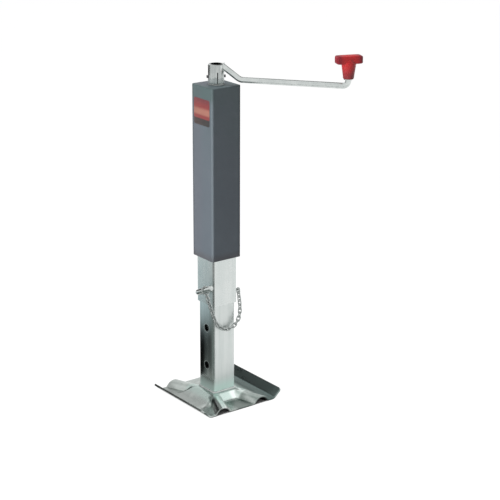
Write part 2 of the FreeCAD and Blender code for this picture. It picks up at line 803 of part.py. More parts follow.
def handle_frame():
    """The point on the handle where the ring hangs, the handle's direction and the ring's way down."""
    tilt = math.radians(measure("handle_tilt"))
    along = Vector(0, -math.cos(tilt), math.sin(tilt))
    down = Vector(0, -math.sin(tilt), -math.cos(tilt))
    spot = Vector(-measure("pin_out"), 0, measure("pin_height")) + along * measure("ring_out")
    return spot, along, down


def chain_ring():
    """The wire ring that hangs on the handle."""
    spot, along, down = handle_frame()
    ring = doc.addObject("Part::Torus", "chain_ring")
    ring.setExpression("Radius1", bound("ring_radius"))
    ring.setExpression("Radius2", bound("ring_wire"))
    node(ring, "chain_ring")
    hang = measure("ring_radius - ring_wire - pin_radius - running_gap")
    ring.Placement = Placement(spot + down * hang, Rotation(Vector(0, 0, 1), along))
    return ring.Placement.Base + down * measure("ring_radius")


def chain_eye():
    """The staple on the ram: a level half ring of wire on two straight legs."""
    pieces = []
    bow = doc.addObject("Part::Torus", "eye_bow")
    bow.setExpression("Radius1", bound("eye_half"))
    bow.setExpression("Radius2", bound("eye_wire"))
    bow.Angle3 = 180
    bow.setExpression("Placement.Base.y", bound("eye_leg"))
    pieces.append(bow)
    for side in (1, -1):
        leg = doc.addObject("Part::Cylinder", "eye_leg")
        leg.setExpression("Radius", bound("eye_wire"))
        leg.setExpression("Height", bound("eye_leg"))
        root = Vector(side * measure("eye_half"), 0, 0)
        leg.Placement = Placement(root, Rotation(Vector(0, 0, 1), Vector(0, 1, 0)))
        pieces.append(leg)
    eye = doc.addObject("Part::MultiFuse", "chain_eye")
    eye.Shapes = pieces
    eye.Refine = True
    node(eye, "chain_eye")
    foot = Vector(measure("ram_width / 2"), -measure("eye_side"), measure("eye_height"))
    eye.Placement = Placement(foot, Rotation(Vector(0, 0, 1), -90))
    return foot + Vector(measure("eye_leg + eye_half"), 0, 0)


def link_solid(length):
    """One link of six-sided wire on a long ring, worked out as mitred rings of corners."""
    wire, half_width = measure("link_wire"), measure("link_width / 2 - link_wire")
    straight = length / 2 - wire - half_width
    turns = [math.radians(angle) for angle in (-90, -54, -18, 18, 54, 90)]
    ends = [(straight, turns), (-straight, [angle + math.pi for angle in turns])]
    rings = []
    for middle, angles in ends:
        for n, angle in enumerate(angles):
            stretch = 1 / math.cos(math.radians(18 if 0 < n < 5 else 9))
            way = Vector(math.cos(angle), math.sin(angle), 0)
            centre = Vector(middle, 0, 0) + way * half_width
            corners = []
            for k in range(6):
                turn = math.radians(60 * k + 30)
                outward = way * (wire * math.cos(turn) * stretch)
                corners.append(centre + outward + Vector(0, 0, wire * math.sin(turn)))
            rings.append(corners)
    faces = []
    for this, after in zip(rings, rings[1:] + rings[:1]):
        for k in range(6):
            quad = [this[k], this[(k + 1) % 6], after[(k + 1) % 6], after[k]]
            for three in ([quad[0], quad[1], quad[2]], [quad[0], quad[2], quad[3]]):
                faces.append(Part.Face(Part.makePolygon(three + three[:1])))
    solid = Part.Solid(Part.Shell(faces))
    if solid.Volume < 0:
        solid.reverse()
    return solid


def pin_chain(start, finish):
    """Welded chain along its route: equal links, each rolled about a quarter turn from the one before.

    The first link hangs across the ring's wire and the last across the staple's, so the whole chain
    also twists by a quarter turn between them.
    """
    route = Part.BSplineCurve()
    route.interpolate([start] + [Vector(*spot) for spot in CHAIN_ROUTE] + [finish])
    edge = route.toShape()
    count = int(measure("link_count"))
    # The end links reach round the wires of the ring and the staple.
    pitch = (edge.Length + measure("ring_wire + eye_wire")) / count
    link = link_solid(pitch + measure("4 * link_wire + link_slack"))
    links = []
    for n in range(count):
        at = edge.getParameterByLength((n + 0.5) * pitch - measure("ring_wire"))
        along = edge.tangentAt(at)
        level = Rotation(along, Vector(), Vector(0, -1, 0), "XZY")
        roll = Rotation(Vector(1, 0, 0), 90 * (n % 2) + 90 * (1 - n / (count - 1)))
        placed = link.copy()
        placed.Placement = Placement(edge.valueAt(at), level.multiply(roll))
        links.append(placed)
    chain = doc.addObject("Part::Feature", "pin_chain")
    chain.Shape = Part.makeCompound(links)
    node(chain, "pin_chain")


outer_tube()
top_cap()
cap_bushing()
race("upper_race", UPPER_RACE_FACE, CAP_BOTTOM)
race("lower_race", LOWER_RACE_FACE, LOWER_RACE_BACK)
bearing_balls()
ball_cage()
thrust_collar()
lead_screw()
end_stop()
crank_hub()
crank_arm()
spindle_ring("knob_washer", "spindle_radius", "washer_radius", SHOULDER, "washer_thick")
spindle_ring("knob_clip", "spindle_radius", "clip_radius", "clip_height", "clip_thick")
crank_knob()
ram_tube()
ram_nut()
drop_leg()
foot_plate()
leg_weld()
lock_pin()
ring_bottom = chain_ring()
eye_end = chain_eye()
pin_chain(ring_bottom, eye_end)
doc.recompute()

for thing in doc.Objects:
    if "Invalid" in thing.State or "Error" in thing.State:
        raise ValueError(f"{thing.Label} failed: {thing.State}")
for piece in nodes:
    if piece.Shape.isNull() or not piece.Shape.isValid():
        raise ValueError(f"{piece.Label} has no valid shape")
os.makedirs("parts", exist_ok=True)
for piece in nodes:
    piece.Shape.exportStep(f"parts/{piece.Label}.step")
print(len(nodes), "pieces written")
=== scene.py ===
import json
import math

import bmesh
import bpy
import numpy as np
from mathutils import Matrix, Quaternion, Vector


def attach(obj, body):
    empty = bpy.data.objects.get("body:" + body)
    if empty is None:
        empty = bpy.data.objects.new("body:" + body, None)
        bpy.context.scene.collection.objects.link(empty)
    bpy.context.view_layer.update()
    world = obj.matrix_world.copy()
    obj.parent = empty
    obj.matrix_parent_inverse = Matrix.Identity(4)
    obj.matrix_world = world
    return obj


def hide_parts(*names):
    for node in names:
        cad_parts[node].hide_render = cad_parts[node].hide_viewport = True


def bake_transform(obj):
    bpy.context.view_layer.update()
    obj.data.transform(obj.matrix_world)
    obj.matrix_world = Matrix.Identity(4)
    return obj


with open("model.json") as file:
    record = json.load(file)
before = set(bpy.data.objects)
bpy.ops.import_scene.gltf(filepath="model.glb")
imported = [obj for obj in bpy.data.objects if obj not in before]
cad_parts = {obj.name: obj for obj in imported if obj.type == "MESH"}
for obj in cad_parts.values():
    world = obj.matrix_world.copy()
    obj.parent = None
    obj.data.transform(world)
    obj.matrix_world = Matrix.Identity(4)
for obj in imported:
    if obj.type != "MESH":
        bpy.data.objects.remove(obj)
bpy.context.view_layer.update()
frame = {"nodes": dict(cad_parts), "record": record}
nodes = frame["nodes"]
body_of_node = {node: body for body, members in frame["record"]["behaviour"]["bodies"].items()
                for node in members}

# Sizes of the jack in metres. The upright axis is +Z and the ground is z = 0.
MM = 0.001
X_WAY = np.array([1.0, 0.0, 0.0])
Y_WAY = np.array([0.0, 1.0, 0.0])
UP = np.array([0.0, 0.0, 1.0])
HOUSING_HALF, HOUSING_TOP = 38.1 * MM, 716.0 * MM
LEG_HALF, LEG_CORNER = 28.55 * MM, 3.8 * MM
LEG_HOLES = (80.0 * MM, 169.5 * MM)
SEAT_HEIGHT = 20.0 * MM
ROD, SPINDLE = 6.35 * MM, 5.0 * MM
HUB_RADIUS = 17.5 * MM
CRANK_TURN, KNOB_TURN = math.radians(-51.0), math.radians(-21.0)
CRANK_WAY = np.array([math.cos(CRANK_TURN), math.sin(CRANK_TURN), 0.0])
CRANK_SIDE = np.array([-CRANK_WAY[1], CRANK_WAY[0], 0.0])
THROW, LEVEL = 287.0 * MM, 734.0 * MM
KNOB_MIDDLE = THROW * CRANK_WAY

# Edges that turn by more than this many degrees stay sharp in the shading.
SHARP = 35.0

# A path's doubled points are kept apart by this much, so that each of them has a direction.
HAIR = 1e-9


# Mesh helpers

def grid_quads(rows, columns, close_rows=False, close_columns=False):
    """Corner numbers of the quads of a grid stored row by row, with either direction closed on itself."""
    r = np.arange(rows if close_rows else rows - 1)
    c = np.arange(columns if close_columns else columns - 1)
    r, c = np.meshgrid(r, c, indexing="ij")
    below, beside = (r + 1) % rows, (c + 1) % columns
    corners = (r * columns + c, r * columns + beside, below * columns + beside, below * columns + c)
    return np.stack(corners, axis=-1).reshape(-1, 4)


def add_piece(name, points, quads, finish, sharp=SHARP, inner=None):
    """A new object from arrays of points and quads, smooth except at edges sharper than an angle. An array
    inner, one value for each point, is kept as an attribute for the finish."""
    mesh = bpy.data.meshes.new(name)
    mesh.from_pydata(points.reshape(-1, 3).tolist(), [], quads.tolist())
    if inner is not None:
        mesh.attributes.new("inner", "FLOAT", "POINT").data.foreach_set("value", inner.ravel())
    joined = bmesh.new()
    joined.from_mesh(mesh)
    bmesh.ops.remove_doubles(joined, verts=joined.verts, dist=1e-7)
    bmesh.ops.recalc_face_normals(joined, faces=joined.faces)
    joined.to_mesh(mesh)
    joined.free()
    mesh.shade_smooth()
    mesh.set_sharp_from_angle(angle=math.radians(sharp))
    mesh.materials.append(finish)
    made = bpy.data.objects.new(name, mesh)
    bpy.context.scene.collection.objects.link(made)
    return made


def stack(*parts):
    """Several (points, quads) pairs as one pair."""
    points, quads, start = [], [], 0
    for part_points, part_quads in parts:
        flat = part_points.reshape(-1, 3)
        points.append(flat)
        quads.append(part_quads + start)
        start += len(flat)
    return np.concatenate(points), np.concatenate(quads)


def unit(ways):
    """The rows of an array, each made one long."""
    return ways / np.linalg.norm(ways, axis=1, keepdims=True)


def heading(path, closed):
    """The direction of a path at each of its points, from the point before to the point after."""
    ahead = np.roll(path, -1, axis=0) - np.roll(path, 1, axis=0)
    if not closed:
        ahead[0], ahead[-1] = path[1] - path[0], path[-1] - path[-2]
    return unit(ahead)


def bead(path, first, second, radius, around, closed):
    """A round section carried along a path: at each point it is the circle
    radius * (cos a * first + sin a * second), where first and second are square to the path."""
    angle = np.linspace(0, 2 * np.pi, around, endpoint=False)[None, :, None]
    first, second = (np.broadcast_to(way, path.shape)[:, None] for way in (first, second))
    size = np.broadcast_to(radius, len(path))[:, None, None]
    points = path[:, None] + size * (np.cos(angle) * first + np.sin(angle) * second)
    return points, grid_quads(len(path), around, closed, True)


def round_rod(path, side, radius, around, closed=False):
    """Round rod or wire: a bead along a flat path, with side the direction square to its plane."""
    return bead(path, side, np.cross(heading(path, closed), side), radius, around, closed)


def rippled(size, turn, *waves):
    """A weld's size along one turn: a plain size with waves of a height, a count of ripples and a start."""
    return size + sum(height * np.sin(count * turn + start) for height, count, start in waves)


def turned(profile, around):
    """A profile of (radius, height) pairs spun about the upright axis: x = r cos a, y = r sin a."""
    angle = np.linspace(0, 2 * np.pi, around, endpoint=False)
    x, y = profile[:, :1] * np.cos(angle), profile[:, :1] * np.sin(angle)
    z = np.broadcast_to(profile[:, 1:], x.shape)
    return np.stack([x, y, z], axis=-1), grid_quads(len(profile), around, False, True)


def thin_sheet(face, back):
    """A closed sheet from the grids of its face and its back: each row is a loop along the face and back
    again, and the first and the last row are closed across the sheet's thickness."""
    loop = np.concatenate([face, back[:, ::-1]], axis=1)
    rows, columns = loop.shape[:2]
    n = np.arange(columns // 2 - 1)
    ends = [np.stack([r + n, r + n + 1, r + columns - 2 - n, r + columns - 1 - n], axis=-1)
            for r in (0, (rows - 1) * columns)]
    return loop, np.concatenate([grid_quads(rows, columns, False, True)] + ends)


def arc(middle, radius, first, last, count):
    """Points of a circle in a flat (across, up) plane between two angles in degrees."""
    angle = np.radians(np.linspace(first, last, count))
    return np.stack([middle[0] + radius * np.cos(angle), middle[1] + radius * np.sin(angle)], axis=-1)


def corner_steps(radius, count):
    """Distances from an edge at which a corner's quarter circle is cut, close together at the edge."""
    return radius * (1 - np.cos(np.linspace(0, np.pi / 2, count)))


def corner_width(radius, inside):
    """How far a quarter-circle corner reaches out at a distance inside the edge."""
    drawn = np.clip(radius - inside, 0, radius)
    return np.sqrt(np.clip(radius ** 2 - drawn ** 2, 0, None))


def smooth_max(a, b, width):
    """The larger of two heights, with the crease between them rounded over a width."""
    near = np.clip(width - np.abs(a - b), 0, None) / width
    return np.maximum(a, b) + near * near * width / 4


def smooth_min(a, b, width):
    """The smaller of two heights, with the crease between them rounded over a width."""
    return -smooth_max(-a, -b, width)


def squared(value, power):
    """A sine or cosine with its size raised to a small power, which fills out the corners of a shape."""
    return np.sign(value) * np.abs(value) ** power


# Shader maths

class Wire:
    """A socket of a node tree; arithmetic on it adds Math nodes, and node() adds any other node."""

    def __init__(self, tree, socket=None):
        self.tree, self.socket = tree, socket

    def node(self, kind, settings=None, inputs=None, out=0):
        made = self.tree.nodes.new(kind)
        for key, value in (settings or {}).items():
            setattr(made, key, value)
        for key, value in (inputs or {}).items():
            if isinstance(value, Wire):
                self.tree.links.new(value.socket, made.inputs[key])
            else:
                made.inputs[key].default_value = value
        return Wire(self.tree, made.outputs[out] if made.outputs else None)

    def maths(self, operation, first, second):
        return self.node("ShaderNodeMath", {"operation": operation}, {0: first, 1: second})

    def __neg__(self):
        return self.maths("MULTIPLY", self, -1.0)

    def __add__(self, other):
        return self.maths("ADD", self, other)

    def __radd__(self, other):
        return self.maths("ADD", other, self)

    def __sub__(self, other):
        return self.maths("SUBTRACT", self, other)

    def __rsub__(self, other):
        return self.maths("SUBTRACT", other, self)

    def __mul__(self, other):
        return self.maths("MULTIPLY", self, other)

    def __rmul__(self, other):
        return self.maths("MULTIPLY", other, self)

    def __truediv__(self, other):
        return self.maths("DIVIDE", self, other)

    def __rtruediv__(self, other):
        return self.maths("DIVIDE", other, self)

    def __pow__(self, other):
        return self.maths("POWER", self, other)


def step(value, low, high):
    """0 at low and before it, 1 at high and past it, smooth between. Low may be the larger of the two."""
    return value.node("ShaderNodeMapRange", {"interpolation_type": "SMOOTHSTEP"},
                      {"Value": value, "From Min": low, "From Max": high})


def band(value, start, full, fade, end):
    """1 from full to fade, 0 before start and past end, smooth between."""
    return step(value, start, full) * step(value, end, fade)


def blend(share, first, second):
    """A colour between two colours."""
    return share.node("ShaderNodeMix", {"data_type": "RGBA"}, {0: share, 6: first, 7: second}, out=2)


def noise(place, scale, detail, rough=0.55):
    """Soft noise with values between 0 and 1."""
    return place.node("ShaderNodeTexNoise", None,
                      {"Vector": place, "Scale": scale, "Detail": detail, "Roughness": rough}, out="Fac")


def stretched(place, scale):
    """The same place with each axis scaled, so that a noise on it makes streaks."""
    return place.node("ShaderNodeVectorMath", {"operation": "MULTIPLY"}, {0: place, 1: scale})


def axis_values(place):
    """The three coordinates of a place as separate values."""
    parts = place.node("ShaderNodeSeparateXYZ", None, {0: place}).socket.node
    return [Wire(place.tree, parts.outputs[n]) for n in range(3)]


def tint(red, green, blue):
    """A colour in linear light."""
    return (red, green, blue, 1.0)


def new_finish(name):
    """A new material, its Principled shader, and the wire of its Object coordinates."""
    made = bpy.data.materials.new(name)
    made.use_nodes = True
    shader = made.node_tree.nodes["Principled BSDF"]
    place = Wire(made.node_tree).node("ShaderNodeTexCoord", out="Object")
    return made, shader, place


def feed(shader, **links):
    """Links wires to the shader's sockets, and sets plain numbers on the sockets themselves."""
    for name, value in links.items():
        socket = shader.inputs[name.replace("_", " ")]
        if isinstance(value, Wire):
            value.tree.links.new(value.socket, socket)
        else:
            socket.default_value = value


def bumped(height, strength, depth):
    """A Bump node on a height."""
    return height.node("ShaderNodeBump", None, {"Strength": strength, "Distance": depth, "Height": height})


# Finishes

WHITE = tint(1.0, 1.0, 1.0)
# Near black for painted shade on the zinc.
SHADE_BLACK = tint(0.012, 0.013, 0.013)


def slate_paint():
    """Satin slate-grey paint: fine orange peel and faint clouds, with a painted highlight along the front
    corner and painted shade along the two outer ones, a brown tinge at the lower rim and a green one over
    the label."""
    finish, shader, place = new_finish("slate_paint")
    x, y, z = axis_values(place)
    clouds = noise(place, 9.0, 4.0)
    grain = noise(place, 900.0, 2.0)
    high = step(z, 0.50, 0.70)
    back = step(y, -0.010, 0.014)
    # Painted highlight along the front corner, painted shade along the two outer corners.
    painted_corner_highlight = step(-(x + y), 0.0717, 0.0733)
    painted_corner_shade = step(((x - y) * (x - y)) ** 0.5, 0.0660, 0.0730)
    rim = step(z, 0.356, 0.338)
    over_label = step(z + 0.012 * clouds, 0.690, 0.708) * step(x, -0.030, -0.036)
    base = blend(high, tint(0.072, 0.086, 0.101), tint(0.065, 0.086, 0.093))
    base = blend(step(clouds, 0.35, 0.75), base, tint(0.079, 0.094, 0.109))
    base = blend(0.5 * back, base, tint(0.082, 0.087, 0.104))
    base = blend(0.45 * painted_corner_highlight, base, tint(0.16, 0.19, 0.21))
    base = blend(0.40 * painted_corner_shade, base, tint(0.020, 0.024, 0.028))
    base = blend(0.45 * rim, base, tint(0.055, 0.046, 0.046))
    base = blend(0.55 * over_label, base, tint(0.046, 0.074, 0.068))
    feed(shader, Base_Color=base, Roughness=0.42 + 0.10 * clouds + 0.05 * grain,
         Normal=bumped(grain, 0.08, 0.0004), Specular_IOR_Level=0.25)
    return finish


def zinc_grain(place, streak):
    """Streaks along the metal's rolling direction, fine specks, and the shallow relief of both."""
    streaks = noise(stretched(place, streak), 1.0, 4.0, 0.6)
    specks = noise(place, 650.0, 2.0)
    return streaks, specks, bumped(0.85 * streaks + 0.15 * specks, 0.06, 0.0005)


def zinc_plate(name, streak, tone, rough, depth=0.84, shade=None, dull=None):
    """Bright zinc plating: soft streaks, clouds and fine specks. The function shade gives the share of
    painted shade, near black, at a place, and dull the share of pale rough zinc, whose paleness is painted
    light."""
    finish, shader, place = new_finish(name)
    streaks, specks, relief = zinc_grain(place, streak)
    clouds = noise(place, 26.0, 5.0, 0.6)
    light = tint(tone * 0.98, tone * 1.03, tone * 1.01)
    dark = tint(tone * depth * 0.98, tone * depth * 1.05, tone * depth * 1.03)
    base = blend(step(0.6 * streaks + 0.4 * clouds, 0.36, 0.62), dark, light)
    if shade:
        base = blend(shade(place), base, SHADE_BLACK)
    if dull:
        # Painted light: a paler zinc, and more roughness, where dull is 1.
        pale = dull(place)
        base = blend(pale, base, tint(0.90, 0.95, 0.93))
        rough = rough + 0.36 * pale
    feed(shader, Base_Color=base, Metallic=1.0, Roughness=rough + 0.16 * clouds + 0.06 * specks,
         Normal=relief)
    return finish


def leg_zinc():
    """Zinc plating on the drop leg: upright rolling streaks, duller on the front face, with two strips of
    painted dark reflection low on the left face, a painted pale green reflection of the foot and more
    roughness low down, and round each hole painted shade at the edge and a paler, rougher ring."""
    finish, shader, place = new_finish("leg_zinc")
    x, y, z = axis_values(place)
    streaks, specks, relief = zinc_grain(place, (110.0, 110.0, 5.0))
    clouds = noise(place, 24.0, 4.0)
    left, front = (step(-side, 0.0262, 0.0280) for side in (x, y))
    # Painted pale green reflection of the foot plate, with more roughness, low on the leg.
    foot = step(z, 0.060, 0.030)
    # Painted dark reflection: two strips low on the left face.
    strips = step(y, 0.004, 0.014) + 0.7 * band(y, -0.022, -0.017, -0.009, -0.004)
    strips = left * band(z, 0.045, 0.075, 0.135, 0.185) * strips
    aways = [(y * y + (z - height) * (z - height)) ** 0.5 for height in LEG_HOLES]
    ring = sum(step(away, 0.0116, 0.0100) for away in aways)
    # Painted shade round the edge of each hole; the paler, rougher ring lies outside it.
    edge = sum(step(away, 0.0094, 0.0084) for away in aways)
    rolled = step(0.65 * streaks + 0.35 * clouds, 0.36, 0.62)
    base = blend(rolled, tint(0.575, 0.620, 0.605), tint(0.650, 0.685, 0.672))
    base = blend(0.62 * strips, base, tint(0.010, 0.012, 0.012))
    base = blend(0.7 * foot, base, tint(0.74, 0.91, 0.86))
    base = blend(0.6 * ring, base, tint(0.76, 0.80, 0.79))
    base = blend(0.9 * edge, base, tint(0.05, 0.055, 0.055))
    feed(shader, Base_Color=base, Metallic=1.0, Normal=relief,
         Roughness=0.07 + 0.10 * clouds + 0.04 * specks + 0.2 * ring + 0.28 * front + 0.4 * foot)
    return finish


def foot_zinc():
    """Zinc plating on the stamped foot: clouds and grey stains, greener round the seat, darker along the
    left edge and paler at that edge's front end. It has painted shade between the front ribs, a painted
    dark reflection along the right fold and a painted highlight on the right half of the seat's front
    slope.
    The left front rib has a painted highlight on its crest and a painted dark reflection on its outer
    flank.
    The underside is painted near black as shade."""
    finish, shader, place = new_finish("foot_zinc")
    x, y, _ = axis_values(place)
    front = -y
    streaks, specks, relief = zinc_grain(place, (26.0, 40.0, 30.0))
    clouds = noise(place, 26.0, 5.0, 0.6)
    stains = step(clouds, 0.52, 0.72)
    seat = step(x * x, 0.0036, 0.0020) * step(y * y, 0.0036, 0.0020)
    left = step(x, -0.060, -0.068)
    # Painted shade between the front ribs.
    between = band(x, -0.022, -0.008, 0.022, 0.034) * step(front, 0.052, 0.060)
    right_rib = step(x, 0.032, 0.040) * step(front, 0.050, 0.060)
    # Painted dark reflection along the right fold, less dark on the wing past it.
    fold, wing = step(x, 0.056, 0.072), step(x, 0.086, 0.094)
    # Painted highlight on the right half of the seat's front slope.
    slope = band(x, 0.002, 0.012, 0.036, 0.042) * band(front, 0.032, 0.037, 0.051, 0.056)
    # The left front rib: a painted dark reflection on its outer flank and a painted highlight on its crest.
    outside = -x - (0.0168 + 0.371 * front)
    flank = band(outside, 0.004, 0.008, 0.016, 0.021) * step(front, 0.024, 0.034)
    crest = band(outside, -0.011, -0.007, 0.001, 0.004) * step(front, 0.036, 0.046)
    # The lower face, painted near black as shade, darkest under the middle of the foot.
    under = place.node("ShaderNodeAttribute", {"attribute_name": "inner"}, out="Fac")
    rolled = step(0.6 * streaks + 0.4 * clouds, 0.36, 0.62)
    base = blend(rolled, tint(0.40, 0.44, 0.42), tint(0.53, 0.575, 0.55))
    base = blend(0.45 * stains, base, tint(0.26, 0.29, 0.275))
    base = blend(0.7 * seat, base, tint(0.50, 0.62, 0.58))
    base = blend(0.5 * left * step(front, 0.044, 0.030), base, tint(0.20, 0.215, 0.205))
    base = blend(0.5 * left * step(front, 0.036, 0.046), base, tint(0.62, 0.66, 0.64))
    base = blend(0.8 * between, base, tint(0.12, 0.155, 0.14))
    base = blend(0.3 * right_rib, base, tint(0.15, 0.24, 0.215))
    base = blend(0.8 * fold, base, tint(0.045, 0.086, 0.081))
    base = blend(0.8 * wing, base, tint(0.32, 0.40, 0.385))
    base = blend(0.8 * slope, base, tint(0.80, 0.88, 0.84))
    base = blend(flank * (0.80 - 0.45 * step(front, 0.045, 0.066)), base, tint(0.08, 0.105, 0.095))
    base = blend(0.95 * crest, base, tint(0.93, 1.0, 0.97))
    base = blend(under * (0.6 + 0.35 * step(x * x, 0.0076, 0.0066)), base, SHADE_BLACK)
    feed(shader, Base_Color=base, Metallic=1.0, Roughness=0.19 + 0.14 * clouds + 0.06 * specks,
         Normal=relief)
    return finish


def dark_steel():
    """Oiled dark steel: mottled, with brighter rubbed patches."""
    finish, shader, place = new_finish("dark_steel")
    mottle = noise(place, 120.0, 4.0)
    rub = noise(place, 30.0, 3.0)
    base = blend(step(mottle, 0.35, 0.7), tint(0.09, 0.09, 0.095), tint(0.17, 0.17, 0.175))
    base = blend(step(rub, 0.60, 0.75), base, tint(0.30, 0.30, 0.31))
    feed(shader, Base_Color=base, Metallic=0.85, Roughness=0.42 + 0.15 * mottle,
         Normal=bumped(mottle, 0.08, 0.0004))
    return finish


def bearing_steel():
    """Ground steel with fine turning marks."""
    finish, shader, place = new_finish("bearing_steel")
    marks = noise(stretched(place, (60.0, 60.0, 1500.0)), 1.0, 2.0)
    base = blend(marks, tint(0.46, 0.47, 0.49), tint(0.62, 0.63, 0.65))
    feed(shader, Base_Color=base, Metallic=0.95, Roughness=0.22 + 0.12 * marks,
         Normal=bumped(marks, 0.05, 0.0003))
    return finish


def cast_iron():
    """Sand-cast iron: coarse grain, dull."""
    finish, shader, place = new_finish("cast_iron")
    grain = noise(place, 420.0, 4.0, 0.7)
    base = blend(grain, tint(0.12, 0.12, 0.12), tint(0.26, 0.26, 0.26))
    feed(shader, Base_Color=base, Metallic=0.7, Roughness=0.6 + 0.15 * grain,
         Normal=bumped(grain, 0.25, 0.0006))
    return finish


def red_plastic():
    """Moulded red plastic with painted shade: brightest where the stem meets the bar, darker towards the
    bar's ends and the stem's foot, with slight clouding, a fine grain and a soft gloss."""
    finish, shader, place = new_finish("red_plastic")
    x, y, z = axis_values(place)
    middle_x, middle_y = (float(value) for value in KNOB_MIDDLE[:2])
    along = (x - middle_x) * math.cos(KNOB_TURN) + (y - middle_y) * math.sin(KNOB_TURN)
    clouds = noise(place, 60.0, 3.0)
    grain = noise(place, 1400.0, 2.0)
    # Painted shade: darker towards the bar's ends and, by height, towards the stem's foot.
    bar_ends = step(along * along, 0.00006, 0.0006)
    base = blend(step(z, 0.752, 0.782), tint(0.17, 0.016, 0.020), tint(0.40, 0.014, 0.016))
    base = blend(bar_ends, base, tint(0.16, 0.006, 0.014))
    base = blend(0.3 * step(clouds, 0.35, 0.7), base, tint(0.28, 0.010, 0.014))
    feed(shader, Base_Color=base, Roughness=0.34 + 0.10 * clouds, Normal=bumped(grain, 0.012, 0.0003),
         Specular_IOR_Level=0.35)
    return finish


def label_print(bottom, height):
    """A plain printed decal: red ground, deeper at the top, with a soft amber band across the middle, a
    charcoal foot and a little unevenness in the ink towards the back."""
    finish, shader, place = new_finish("label_print")
    _, y, z = axis_values(place)
    rise = (z - bottom) / height
    across = (y + HOUSING_HALF) / (2 * HOUSING_HALF)
    ink = noise(place, 500.0, 2.0)
    base = blend(step(rise, 0.72, 0.95), tint(0.150, 0.026, 0.026), tint(0.105, 0.024, 0.028))
    base = blend(band(rise, 0.34, 0.44, 0.56, 0.70), base, tint(0.230, 0.095, 0.070))
    base = blend(step(rise, 0.27, 0.23), base, tint(0.022, 0.021, 0.021))
    base = blend(0.25 * ink * step(across, 0.1, 0.9), base, tint(0.16, 0.07, 0.06))
    feed(shader, Base_Color=base, Roughness=0.34 + 0.15 * ink, Normal=bumped(ink, 0.03, 0.0002),
         Specular_IOR_Level=0.4)
    return finish


def ram_corner_shade(place):
    """Painted shade in a line along the ram's rounded front corner, standing in for a dark reflection."""
    x, y, _ = axis_values(place)
    return 0.38 * step(-(x + y), 0.0594, 0.0606)


def hub_mouth_shade(place):
    """1 inside the hub's open mouth, which gets painted shade."""
    x, y, z = axis_values(place)
    return step((x * x + y * y) ** 0.5, 0.0129, 0.0121) * step(z, 0.7560, 0.7568)


def hub_foot(place):
    """1 round the hub's lower end, which is painted paler as light and made rougher."""
    return step(axis_values(place)[2], 0.7420, 0.7290)


housing_paint = slate_paint()
ram_zinc = zinc_plate("ram_zinc", (120.0, 120.0, 4.0), tone=0.665, rough=0.16, depth=0.90,
                      shade=ram_corner_shade)
drop_zinc = leg_zinc()
rod_zinc = zinc_plate("rod_zinc", (60.0, 60.0, 60.0), tone=0.64, rough=0.16)
chain_zinc = zinc_plate("chain_zinc", (90.0, 90.0, 90.0), tone=0.50, rough=0.30)
plate_zinc = foot_zinc()
hub_zinc = zinc_plate("hub_zinc", (180.0, 180.0, 12.0), tone=0.54, rough=0.16, depth=0.74,
                      shade=hub_mouth_shade, dull=hub_foot)
bush_zinc = zinc_plate("bush_zinc", (160.0, 160.0, 160.0), tone=0.44, rough=0.46)
weld_zinc = zinc_plate("weld_zinc", (160.0, 160.0, 160.0), tone=0.60, rough=0.34)
oiled_steel = dark_steel()
ground_steel = bearing_steel()
nut_iron = cast_iron()
knob_red = red_plastic()


# Carried-over nodes

def put_on(made, *stood_for):
    """Sets a new piece on the body of the nodes that it stands for."""
    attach(made, body_of_node[stood_for[0]])
    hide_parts(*stood_for)


def smooth_copy(node, finish):
    """A CAD node's own surface with its triangles joined and shaded smooth."""
    mesh = nodes[node].data.copy()
    mesh.name = f"{node}_skin"
    joined = bmesh.new()
    joined.from_mesh(mesh)
    bmesh.ops.remove_doubles(joined, verts=joined.verts, dist=2e-6)
    bmesh.ops.dissolve_limit(joined, angle_limit=math.radians(0.5), verts=joined.verts, edges=joined.edges)
    joined.to_mesh(mesh)
    joined.free()
    mesh.shade_smooth()
    mesh.set_sharp_from_angle(angle=math.radians(SHARP))
    mesh.materials.clear()
    mesh.materials.append(finish)
    made = bpy.data.objects.new(f"{node}_skin", mesh)
    bpy.context.scene.collection.objects.link(made)
    put_on(made, node)


inner_finishes = {
    "upper_race": ground_steel, "lower_race": ground_steel, "bearing_balls": ground_steel,
    "ball_cage": oiled_steel, "thrust_collar": oiled_steel, "collar_pin": oiled_steel,
    "lead_screw": oiled_steel, "stop_washer": oiled_steel, "stop_pin": oiled_steel,
    "knob_clip": oiled_steel, "ram_nut": nut_iron, "nut_pins": oiled_steel,
}
for node, finish in inner_finishes.items():
    nodes[node].data.materials.clear()
    nodes[node].data.materials.append(finish)

outer_finishes = {
    "outer_tube": housing_paint, "top_cap": housing_paint, "ram_tube": ram_zinc, "drop_leg": drop_zinc,
    "crank_hub": hub_zinc, "cap_bushing": bush_zinc, "hub_pin": oiled_steel, "knob_washer": rod_zinc,
}
for node, finish in outer_finishes.items():
    smooth_copy(node, finish)


# Crank

SHOULDER, SPINDLE_TOP = 748.2 * MM, 789.0 * MM
SHOULDER_EASE, SPINDLE_EASE, SPINDLE_TAPER = 0.5 * MM, 1.0 * MM, 1.2 * MM
ELBOW = 12.5 * MM
NECK_OUT, NECK_BEND, NECK_TILT = 53.5 * MM, 22.0 * MM, math.radians(35.5)
ROD_ROOT = 0.8 * HUB_RADIUS
HUB_BEAD = 1.5 * MM


